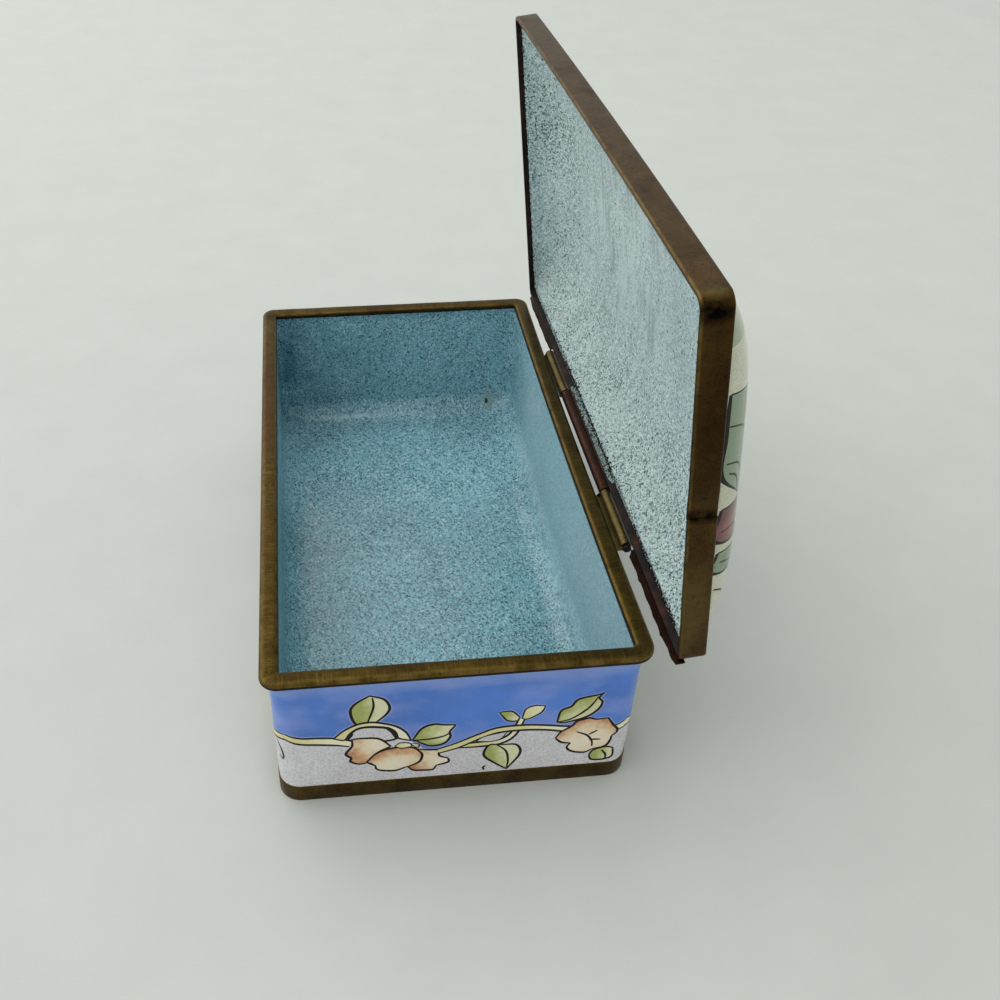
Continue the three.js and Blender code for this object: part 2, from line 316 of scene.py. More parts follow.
def hoop(name, plan, profile, stations, materials, hidden, nudge, matrix=None):
    """A closed band: profile, a closed list of (inset, height), carried around the plan. Its UV map
    has the length along the band and the length across its section, both in metres. The steps of
    the profile in hidden have the second material; nudge moves each point a little."""
    skin = Skin()
    across = run_lengths(profile)
    rings = []
    for s in stations:
        points = []
        for step, (inset, height) in enumerate(profile):
            x, y = plan.point(s, inset, shrunk)
            point = (x, y, height)
            points.append(nudge(s, across[step], point))
        rings.append(skin.ring(points))
    count = len(profile)
    for i, here in enumerate(rings):
        there = rings[(i + 1) % len(rings)]
        u0 = stations[i]
        u1 = stations[i + 1] if i + 1 < len(stations) else plan.length
        for k in range(count):
            m = (k + 1) % count
            skin.face((here[k], there[k], there[m], here[m]), 1 if k in hidden else 0)
            skin.sweeps[len(skin.faces) - 1] = (
                (u0, across[k]), (u1, across[k]), (u1, across[k + 1]), (u0, across[k + 1]),
            )
    return skin.make(name, materials, matrix)


def curve(points, step=0.35):
    """A smooth curve through a few points, whose further numbers, such as a width, run along."""
    given = [np.array(p, float) for p in points]
    if len(given) == 2:
        given.insert(1, (given[0] + given[1]) / 2)
    run = [2 * given[0] - given[1]] + given + [2 * given[-1] - given[-2]]
    made = []
    for a, b, c, d in zip(run, run[1:], run[2:], run[3:]):
        steps = max(2, round(float(np.linalg.norm((c - b)[:2])) / step))
        for t in np.arange(steps) / steps:
            made.append(0.5 * (2 * b + (c - a) * t + (2 * a - 5 * b + 4 * c - d) * t ** 2
                               + (3 * b - a - 3 * c + d) * t ** 3))
    return np.array(made + [given[-1]])


def ribbon(points, widths):
    """The closed outline of a line of varying width."""
    along = np.gradient(points, axis=0)
    along /= np.maximum(np.linalg.norm(along, axis=1), 1e-9)[:, None]
    side = np.stack([-along[:, 1], along[:, 0]], 1) * (np.asarray(widths) / 2)[:, None]
    return np.concatenate([points + side, (points - side)[::-1]])


def inside(outline, spots):
    """Which spots the outline winds around."""
    x, y = spots[:, 0], spots[:, 1]
    winding = np.zeros(len(spots), int)
    for (ax, ay), (bx, by) in zip(outline, np.roll(outline, -1, axis=0)):
        left = (bx - ax) * (y - ay) - (x - ax) * (by - ay)
        winding += (ay <= y) & (by > y) & (left > 0)
        winding -= (ay > y) & (by <= y) & (left < 0)
    return winding != 0


class Picture:
    """Painted shapes in the order they were laid on: at each spot, the last one that covers it shows."""

    def __init__(self, names, line):
        self.names = names
        self.line = line
        self.halos = []
        self.layers = []
        self.flip = 1
        self.shift = 0.0
        self.sway = 0.0

    def at(self, points):
        """Where the points of a motif lie on the picture."""
        spots = np.array(points, float)[:, :2]
        u, v = spots[:, 0].copy(), spots[:, 1].copy()
        u = u + self.sway * np.sin(v / 3.1 + self.shift)
        v = v + self.sway * np.sin(u / 4.3 + self.shift / 2)
        return np.stack([self.flip * u + self.shift, v], 1)

    def fill(self, outline, paint, axes=None):
        """Covers the inside of an outline. axes are the motif's middle and the ends of its half axes;
        a fourth number says how far its colour runs outwards from the middle and not along it."""
        self.layers.append((self.at(outline), paint, self.frame_of(axes)))

    def frame_of(self, axes):
        """The axes as a middle, the matrix that takes an offset from it to shares, and the fourth number."""
        if axes is None:
            return None
        middle, first, second = self.at(axes[:3])
        basis = np.linalg.inv(np.stack([first - middle, second - middle], 1))
        return middle, basis, axes[3] if len(axes) > 3 else 0.0

    def pen(self, points, width, halo=0.0):
        """A drawn line, thinner towards its ends, with a paler rim where it crosses the coloured ground.
        width is a share of the picture's line width."""
        line = curve(points)[:, :2] if len(points) < 30 else np.array(points)[:, :2]
        swell = (0.65 + 0.35 * np.sin(np.linspace(0, math.pi, len(line)))) * width * self.line
        self.layers.append((self.at(ribbon(line, swell)), "line", None))
        if halo and "halo" in self.names:
            self.halos.append((self.at(ribbon(line, swell + halo)), "halo", None))

    def band(self, points, paint, pen=1.0, halo=0.35):
        """A painted stem: points are (across, up, width); both of its sides are drawn."""
        path = curve(points)
        outline = ribbon(path[:, :2], path[:, 2])
        middle = path[len(path) // 2, :2]
        self.fill(outline, paint, (tuple(middle), tuple(middle + (3, 0)), tuple(middle + (0, 1))))
        half = len(path)
        self.pen(outline[:half], pen, halo)
        self.pen(outline[half:], pen, halo)

    def motif(self, runs, paint, axes, pen=1.0, lines=(), halo=0.35):
        """A closed shape of several smooth runs that meet at points, its outline and the lines in it."""
        smooth = [curve(run) for run in runs]
        self.fill(np.concatenate(smooth), paint, axes)
        for run in smooth:
            self.pen(run, pen, halo)
        for line in lines:
            self.pen(line, pen * 0.85)

    def mesh(self, guides, keep, ground):
        """Triangles of the picture: its corners, the paint and motif place of each, in order."""
        corners, edges = [], []
        stack = self.halos + self.layers
        outlines = [(guide, False) for guide in guides] + [(layer[0], True) for layer in stack]
        for outline, closed in outlines:
            first = len(corners)
            corners.extend(Vector(p) for p in outline)
            edges.extend((i, i + 1) for i in range(first, len(corners) - 1))
            if closed:
                edges.append((len(corners) - 1, first))
        found, _, faces, *_ = delaunay_2d_cdt(corners, edges, [], 0, 1e-4, False)
        spots = np.array([tuple(p) for p in found])
        faces = np.array([f for f in faces if len(f) == 3])
        middles = spots[faces].mean(1)
        kept = keep(middles)
        faces, middles = faces[kept], middles[kept]
        a, b, c = spots[faces[:, 0]], spots[faces[:, 1]], spots[faces[:, 2]]
        turned = (b[:, 0] - a[:, 0]) * (c[:, 1] - a[:, 1]) < (c[:, 0] - a[:, 0]) * (b[:, 1] - a[:, 1])
        faces[turned] = faces[turned][:, ::-1]
        paint = ground(middles)
        top = np.full(len(faces), -1)
        for level, (outline, name, _) in enumerate(stack):
            low, high = outline.min(0), outline.max(0)
            near = np.where(np.all((middles >= low) & (middles <= high), axis=1))[0]
            if len(near):
                hit = near[inside(outline, middles[near])]
                if name == "halo":
                    hit = hit[paint[hit] == 0]
                paint[hit] = self.names.index(name)
                top[hit] = level
        places = np.zeros((len(faces), 3, 3), np.float32)
        for level in np.unique(top[top >= 0]):
            spread = stack[level][2]
            if spread:
                middle, basis, radial = spread
                mine = np.where(top == level)[0]
                local = (spots[faces[mine]] - middle) @ basis.T
                places[mine, :, :2] = local
                places[mine, :, 2] = radial
        return spots, faces, paint, places


def borders(faces):
    """The loops of points along the open edges of some triangles, each in the triangles' own order."""
    after = {}
    sides = {(int(f[i]), int(f[(i + 1) % 3])) for f in faces for i in range(3)}
    for a, b in sides:
        if (b, a) not in sides:
            after[a] = b
    loops = []
    while after:
        start = here = next(iter(after))
        loop = []
        while here in after:
            loop.append(here)
            here = after.pop(here)
        if here == start:
            loops.append(loop)
    return loops


def rgb(colour):
    """A colour's three linear parts; it is given as a hex value or as linear parts."""
    return linear(colour) if isinstance(colour, str) else tuple(colour)[:3]


def tone(colour, light):
    """A colour made darker or lighter by a factor."""
    return tuple(min(1.0, part * light) for part in rgb(colour))


def node(tree, kind, links=None, **settings):
    """Adds a node to a tree. links maps an input's name or number to a value, a colour or another
    node's output; stops are the places and colours of a colour ramp."""
    made = tree.nodes.new(kind)
    stops = settings.pop("stops", ())
    for name, value in settings.items():
        setattr(made, name, value)
    if stops:
        ramp = made.color_ramp
        ramp.elements[0].position, ramp.elements[-1].position = stops[0][0], stops[-1][0]
        for place, _ in stops[1:-1]:
            ramp.elements.new(place)
        for element, (_, colour) in zip(ramp.elements, stops):
            element.color = (*rgb(colour), 1)
    for key, value in (links or {}).items():
        socket = made.inputs[key]
        if isinstance(value, bpy.types.NodeSocket):
            tree.links.new(value, socket)
        else:
            socket.default_value = (*rgb(value), 1) if socket.type == "RGBA" else value
    return made


def new_material(name):
    """An empty material, its tree, its shader and its Object coordinates."""
    made = bpy.data.materials.new(name)
    made.use_nodes = True
    tree = made.node_tree
    shader = tree.nodes["Principled BSDF"]
    place = node(tree, "ShaderNodeTexCoord").outputs["Object"]
    return made, tree, shader, place


def laid_over(tree, colour, *layers):
    """Stains, specks and washes over a colour, in order: each is how strong it is, its colour and how
    it mixes with what lies under it."""
    for strength, paint, way in layers:
        colour = node(tree, "ShaderNodeMix", {0: strength, 6: colour, 7: paint}, data_type="RGBA",
                      blend_type=way).outputs[2]
    return colour


def patches(tree, place, size, low, high, most=1.0, detail=4.0, stretch=(1, 1, 1), seed=0.0):
    """A mask of soft patches, size millimetres across, that rises to most as the noise goes from low
    to high. stretch makes them finer along an axis."""
    scale = tuple(part / (size * MM) for part in stretch)
    laid = node(tree, "ShaderNodeMapping", {"Vector": place, "Location": (seed, -seed, seed * 0.7),
                                            "Scale": scale})
    cloud = node(tree, "ShaderNodeTexNoise", {"Vector": laid.outputs[0], "Scale": 1.0, "Detail": detail})
    return node(tree, "ShaderNodeMapRange", {0: cloud.outputs["Fac"], 1: low, 2: high, 4: most}).outputs[0]


def spot(tree, place, centre, size, edge=0.4, most=1.0):
    """A mask for one place on a piece: most at the centre, 0 at an ellipsoid's half axes, which are in
    millimetres; edge is where it starts to fade."""
    moved = node(tree, "ShaderNodeVectorMath", {0: place, 1: Vector(centre) * MM}, operation="SUBTRACT")
    drawn = node(tree, "ShaderNodeVectorMath", {0: moved.outputs[0], 1: Vector(size) * MM},
                 operation="DIVIDE")
    away = node(tree, "ShaderNodeVectorMath", {0: drawn.outputs[0]}, operation="LENGTH")
    return node(tree, "ShaderNodeMapRange", {0: away.outputs["Value"], 1: 1.0, 2: edge, 4: most}).outputs[0]


def overlap(tree, mask, *others):
    """Masks multiplied together: the result is strong only where all of them are."""
    for other in others:
        mask = node(tree, "ShaderNodeMath", {0: mask, 1: other}, operation="MULTIPLY").outputs[0]
    return mask


def slope(tree, place, axis, low, high, most=1.0):
    """A mask that rises to most as the place goes from low to high along an axis, in millimetres."""
    parts = node(tree, "ShaderNodeSeparateXYZ", {0: place})
    return node(tree, "ShaderNodeMapRange",
                {0: parts.outputs[axis], 1: low * MM, 2: high * MM, 4: most}).outputs[0]


def mottled(tree, place, stops, size, detail=4.0):
    """Colour that wanders over a surface through the given stops, in patches size millimetres across."""
    laid = node(tree, "ShaderNodeMapping", {"Vector": place, "Scale": (1 / (size * MM),) * 3})
    cloud = node(tree, "ShaderNodeTexNoise", {"Vector": laid.outputs[0], "Scale": 1.0, "Detail": detail,
                                              "Roughness": 0.6})
    return node(tree, "ShaderNodeValToRGB", {"Fac": cloud.outputs["Fac"]}, stops=stops).outputs["Color"]


def grains(tree, place, size, stops, seed=0.0):
    """Crushed glass grains, size millimetres across, each fused with its own colour."""
    moved = node(tree, "ShaderNodeVectorMath", {0: place, 1: (seed, -seed, seed)}, operation="ADD")
    cells = node(tree, "ShaderNodeTexVoronoi", {"Vector": moved.outputs[0], "Scale": 1 / (size * MM)})
    lot = node(tree, "ShaderNodeSeparateColor", {0: cells.outputs["Color"]})
    return node(tree, "ShaderNodeValToRGB", {"Fac": lot.outputs[0]}, stops=stops).outputs["Color"]


def glaze(tree, shader, place, colour, rough, ripple=0.05, grain=1.1, shine=0.5):
    """Fused glass over the colour: glossy, with the shallow ripple, about 4 mm from crest to crest, and
    the fine pits that firing leaves. ripple and grain are in millimetres."""
    fine = node(tree, "ShaderNodeTexNoise", {"Vector": place, "Scale": 1 / (grain * MM), "Detail": 3.0})
    broad = node(tree, "ShaderNodeTexNoise", {"Vector": place, "Scale": 0.26 / MM, "Detail": 2.0})
    height = node(tree, "ShaderNodeMath", {0: fine.outputs["Fac"], 1: broad.outputs["Fac"]}, operation="ADD")
    bump = node(tree, "ShaderNodeBump", {"Height": height.outputs[0], "Strength": 1.0,
                                         "Distance": ripple * MM})
    tree.links.new(colour, shader.inputs["Base Color"])
    tree.links.new(bump.outputs["Normal"], shader.inputs["Normal"])
    shader.inputs["Roughness"].default_value = rough
    shader.inputs["IOR"].default_value = 1.5
    shader.inputs["Specular IOR Level"].default_value = shine


# A grain that leaves the colour under it as it is
CLEAR = "#FFFFFF"


def speckled_petrol(colour, rough):
    # Counter-enamel of mixed grains: dark petrol and pale turquoise specks fused side by side. Painted
    # shade darkens the far wall's front half and the near part of the floor; painted highlights run along
    # the cove where the far wall and the hinge wall meet the floor; the inside of the hinge wall is paler,
    # partly its smoother glaze and partly painted light; one pit shows beside a sandy smudge. Grains of
    # 0.15 mm are drawn wider, because finer ones don't show
    made, tree, shader, place = new_material("speckled_petrol_counter_enamel")
    base = mottled(tree, place, ((0.3, tone(colour, 0.8)), (0.45, tone(colour, 1.1)),
                                 (0.58, tone(colour, 1.36)), (0.72, tone(colour, 1.6))), 17.0, detail=3.0)
    fine = grains(tree, place, 0.26, ((0.0, "#386A7C"), (0.22, "#74A6B6"), (0.7, "#9CC4CE"),
                                      (0.97, "#E2F2F2")))
    dark = grains(tree, place, 0.25, ((0.0, "#1A404C"), (0.1, "#4E7C88"), (0.2, CLEAR), (1.0, CLEAR)), 0.4)
    coarse = grains(tree, place, 0.42, ((0.0, "#5E8896"), (0.12, CLEAR), (0.85, CLEAR), (1.0, CLEAR)), 1.1)
    # Painted shade over the front half of the far wall
    shaded = overlap(tree, slope(tree, place, 0, -46.0, -51.0), slope(tree, place, 1, 2.0, -24.0),
                     patches(tree, place, 9.0, 0.3, 0.6, most=0.9))
    # Painted highlight along the cove where the far wall meets the floor
    seam = overlap(tree, spot(tree, place, (-49.4, -7.0, 2.2), (0.9, 17.0, 0.7), edge=0.3),
                   patches(tree, place, 1.6, 0.42, 0.56, most=0.8))
    # Painted highlight along the cove where the hinge wall meets the floor
    cove = overlap(tree, spot(tree, place, (8.0, 24.4, 3.0), (11.0, 1.7, 2.0), edge=0.3),
                   patches(tree, place, 1.6, 0.45, 0.6, most=0.5))
    # Painted shade: the near part of the floor darker
    near = slope(tree, place, 0, -26.0, -12.0)
    # The inside of the hinge wall paler and smoother: partly its own glaze, partly painted light
    hinge_wall = overlap(tree, slope(tree, place, 1, 23.5, 26.0),
                         slope(tree, place, 0, -44.0, -30.0, most=0.5))
    smudge = overlap(tree, spot(tree, place, (-50.6, 21.6, 3.8), (3.0, 4.2, 4.2), edge=0.2),
                     patches(tree, place, 1.2, 0.4, 0.6, most=0.7))
    pit = spot(tree, place, (-50.7, 20.9, 3.6), (1.3, 0.5, 0.7), edge=0.5)
    colour = laid_over(tree, base, (0.6, fine, "MIX"), (0.6, coarse, "MULTIPLY"), (0.9, dark, "MULTIPLY"),
                       (shaded, "#84ACB8", "MULTIPLY"), (near, "#DEE6E6", "MULTIPLY"),
                       (hinge_wall, "#AECBD4", "MIX"), (seam, "#A9CBD2", "MIX"), (cove, "#A9CFD4", "MIX"),
                       (smudge, "#93988A", "MIX"), (pit, "#12232A", "MIX"))
    glaze(tree, shader, place, colour, rough + 0.1, ripple=0.04)
    return made


def speckled_aqua(colour, rough):
    # Counter-enamel inside the lid: pale aqua, granular like sugar, with dark grey-green gaps between
    # the grains. Painted shade darkens it towards the far end and the hinge, where the dark gaps are
    # drawn denser; the middle has run smooth in the fire and left upright ripples. Grains of 0.1 mm are
    # drawn wider, because finer ones don't show
    made, tree, shader, place = new_material("speckled_aqua_counter_enamel")
    base = mottled(tree, place, ((0.32, tone(colour, 0.8)), (0.5, colour), (0.7, tone(colour, 1.16))), 11.0)
    fine = grains(tree, place, 0.24, ((0.0, "#5E8086"), (0.25, "#A2BCBE"), (0.7, "#CADADB"),
                                      (1.0, "#F6FCFB")))
    gaps = grains(tree, place, 0.23, ((0.0, "#2C4A48"), (0.16, "#5C7A76"), (0.3, CLEAR), (1.0, CLEAR)), 0.7)
    coarse = grains(tree, place, 0.34, ((0.0, "#16302E"), (0.025, "#38544F"), (0.045, CLEAR), (1.0, CLEAR)),
                    1.9)
    # Painted shade towards the far end and the hinge, drawn as denser dark gaps
    far = slope(tree, place, 0, 10.0, -54.0)
    low = slope(tree, place, 2, 60.0, 32.0)
    either = node(tree, "ShaderNodeMath", {0: far, 1: low}, operation="MAXIMUM")
    edge_shade = overlap(tree, either.outputs[0], patches(tree, place, 13.0, 0.3, 0.62, most=0.75))
    gaps_and_shade = node(tree, "ShaderNodeMath", {0: edge_shade, 1: 0.34}, operation="ADD")
    run = overlap(tree, spot(tree, place, (-14.0, 37.0, 66.0), (34.0, 12.0, 26.0), edge=0.5),
                  patches(tree, place, 1.5, 0.5, 0.62, most=0.7, detail=5.0, stretch=(1.0, 0.3, 0.16)))
    shade = overlap(tree, spot(tree, place, (-10.0, 37.0, 60.0), (36.0, 12.0, 28.0), edge=0.4),
                    patches(tree, place, 2.6, 0.5, 0.64, most=0.55, detail=5.0, stretch=(1.0, 0.3, 0.2),
                            seed=4.0))
    # Painted shade, darker towards the hinge
    hinge_end_shade = slope(tree, place, 2, 46.0, 30.0, most=0.8)
    colour = laid_over(tree, base, (0.62, fine, "MIX"), (gaps_and_shade.outputs[0], gaps, "MULTIPLY"),
                       (0.8, coarse, "MULTIPLY"), (shade, "#7F9898", "MIX"), (run, "#C9DADA", "MIX"),
                       (hinge_end_shade, "#C9CFCB", "MULTIPLY"))
    glaze(tree, shader, place, colour, rough + 0.34, ripple=0.035, grain=0.7, shine=0.35)
    return made


def ground_enamel(name, colour, rough, cloud=12.0, spread=0.22, grain=0.4, tint=None, edge=None):
    """Plain ground colour of a painted face: clouded, with a fine grain in it, which is drawn wider
    than its 0.1 mm so that it shows. tint is a colour that the face drifts to in patches, and edge one
    that is laid in a strip near the tray's top edge as a painted highlight."""
    made, tree, shader, place = new_material(name)
    base = mottled(tree, place, ((0.3, tone(colour, 1 - spread)), (0.5, colour),
                                 (0.7, tone(colour, 1 + spread))), cloud, detail=5.0)
    fine = grains(tree, place, 0.24, ((0.0, "#B8B8BC"), (0.35, "#E4E4E6"), (0.7, CLEAR), (1.0, CLEAR)))
    layers = [(grain, fine, "MULTIPLY")]
    if tint:
        drift = patches(tree, place, 9.0, 0.46, 0.72, most=0.7, stretch=(1, 1, 1.6), seed=3.0)
        layers.append((drift, tint, "MIX"))
    if edge:
        # A painted highlight in a strip under the rim
        under_rim_highlight = overlap(tree, slope(tree, place, 2, 23.6, 26.6),
                            patches(tree, place, 5.0, 0.1, 0.5, most=0.9))
        layers.append((under_rim_highlight, edge, "MIX"))
    glaze(tree, shader, place, laid_over(tree, base, *layers), rough)
    return made


def brushed_paint(name, stops, rough, shine):
    """Overglaze colour laid on with a brush: it runs through its stops over the motif it fills."""
    made, tree, shader, place = new_material(name)
    motif = node(tree, "ShaderNodeAttribute", attribute_name="motif")
    parts = node(tree, "ShaderNodeSeparateXYZ", {0: motif.outputs["Vector"]})
    flat = node(tree, "ShaderNodeVectorMath", {0: motif.outputs["Vector"], 1: (1, 1, 0)},
                operation="MULTIPLY")
    away = node(tree, "ShaderNodeVectorMath", {0: flat.outputs[0]}, operation="LENGTH")
    along = node(tree, "ShaderNodeMath", {0: parts.outputs[0], 1: 0.5, 2: 0.5}, operation="MULTIPLY_ADD")
    run = node(tree, "ShaderNodeMix", {0: parts.outputs[2], 2: along.outputs[0], 3: away.outputs["Value"]})
    # How far along its stops the colour is, moved to and fro by the brush's strokes and broader washes
    total = run.outputs[0]
    for shift in (patches(tree, place, 1.1, 0.0, 1.0, most=0.5),
                  patches(tree, place, 4.2, 0.25, 0.75, most=0.5, detail=3.0, seed=7.0), -0.5):
        total = node(tree, "ShaderNodeMath", {0: total, 1: shift}, operation="ADD").outputs[0]
    ramp = node(tree, "ShaderNodeValToRGB", {"Fac": total}, stops=stops)
    glaze(tree, shader, place, ramp.outputs["Color"], rough, shine=shine)
    return made


def aged_brass(name, colour, dark, worn, rough=0.42, marks=0.0, wear_and_highlight=(), stains_and_painted_light=(), swept=True):
    """Old brass: brown to olive, stained darker in patches, with fine pits. marks is how far fine
    polishing marks show across it. The list of bands across the section (millimetres, amount) paints
    it bright where hands have rubbed it, and as painted highlights on the rim's roll and edges and the
    lid band's opening edge. The list of single marks (centre, half axes, colour, amount) holds stains,
    and on the rim and the lid band also painted highlights, a painted reflection and a painted shade
    line. Marks of 0.05 mm and grains of 0.1 mm are drawn 0.2 mm wide, because finer ones don't show."""
    made, tree, shader, place = new_material(name)
    base = mottled(tree, place, ((0.3, tone(colour, 0.72)), (0.5, colour), (0.7, tone(colour, 1.35))), 3.2,
                   detail=8.0)
    stains = patches(tree, place, 6.0, 0.54, 0.76, most=0.6, detail=8.0)
    fine = grains(tree, place, 0.2, ((0.0, "#8A8478"), (0.2, "#E6E4E0"), (0.5, CLEAR), (1.0, CLEAR)))
    pits = patches(tree, place, 0.5, 0.66, 0.76, most=0.8, detail=1.0)
    layers = [(stains, dark, "MIX"), (0.6, fine, "MULTIPLY")]
    if swept:
        sweep = node(tree, "ShaderNodeUVMap", uv_map="sweep").outputs[0]
        scratches = patches(tree, sweep, 1.0, 0.5, 0.8, most=marks, detail=2.0, stretch=(5.2, 0.26, 1.0))
        layers.append((scratches, worn, "MIX"))
        if wear_and_highlight:
            across = node(tree, "ShaderNodeSeparateXYZ", {0: sweep})
            reach = 8.0
            share = node(tree, "ShaderNodeMath", {0: across.outputs[1], 1: 1 / (reach * MM)},
                         operation="MULTIPLY")
            # Bands painted bright across the section: rubbed brass, and painted highlights on the rim's roll
            # and edges and the lid band's opening edge
            rubbed = node(tree, "ShaderNodeValToRGB", {"Fac": share.outputs[0]},
                          stops=[(at / reach, (much,) * 3) for at, much in wear_and_highlight])
            bright = overlap(tree, rubbed.outputs["Color"], patches(tree, place, 2.2, 0.28, 0.6, detail=5.0))
            layers.append((bright, worn, "MIX"))
    layers.append((pits, dark, "MIX"))
    for centre, size, paint, most in stains_and_painted_light:
        ragged = overlap(tree, spot(tree, place, centre, size, 0.35, most),
                         patches(tree, place, 1.6, 0.2, 0.5))
        layers.append((ragged, paint, "MIX"))
    shine = node(tree, "ShaderNodeMapRange", {0: stains, 3: rough, 4: rough + 0.2})
    dents = node(tree, "ShaderNodeTexNoise", {"Vector": place, "Scale": 0.42 / MM, "Detail": 6.0})
    bump = node(tree, "ShaderNodeBump", {"Height": dents.outputs["Fac"], "Strength": 1.0,
                                         "Distance": 0.06 * MM})
    tree.links.new(laid_over(tree, base, *layers), shader.inputs["Base Color"])
    tree.links.new(shine.outputs[0], shader.inputs["Roughness"])
    tree.links.new(bump.outputs["Normal"], shader.inputs["Normal"])
    shader.inputs["Metallic"].default_value = 1.0
    return made


def black_tarnish(name, colour, red):
    # Brass that was never polished, inside the bands and under the rim: near black with a thick, dull
    # crust, and a reddish copper bloom in patches. At the foot of the rim's outer roll it is a painted
    # shadow line
    made, tree, shader, place = new_material(name)
    base = mottled(tree, place, ((0.3, tone(colour, 0.5)), (0.5, colour), (0.66, red), (0.8, tone(red, 1.5))),
                   2.6, detail=5.0)
    crust = node(tree, "ShaderNodeTexNoise", {"Vector": place, "Scale": 0.9 / MM, "Detail": 4.0})
    bump = node(tree, "ShaderNodeBump", {"Height": crust.outputs["Fac"], "Strength": 1.0,
                                         "Distance": 0.12 * MM})
    tree.links.new(base, shader.inputs["Base Color"])
    tree.links.new(bump.outputs["Normal"], shader.inputs["Normal"])
    shader.inputs["Metallic"].default_value = 0.6
    shader.inputs["Roughness"].default_value = 0.62
    return made


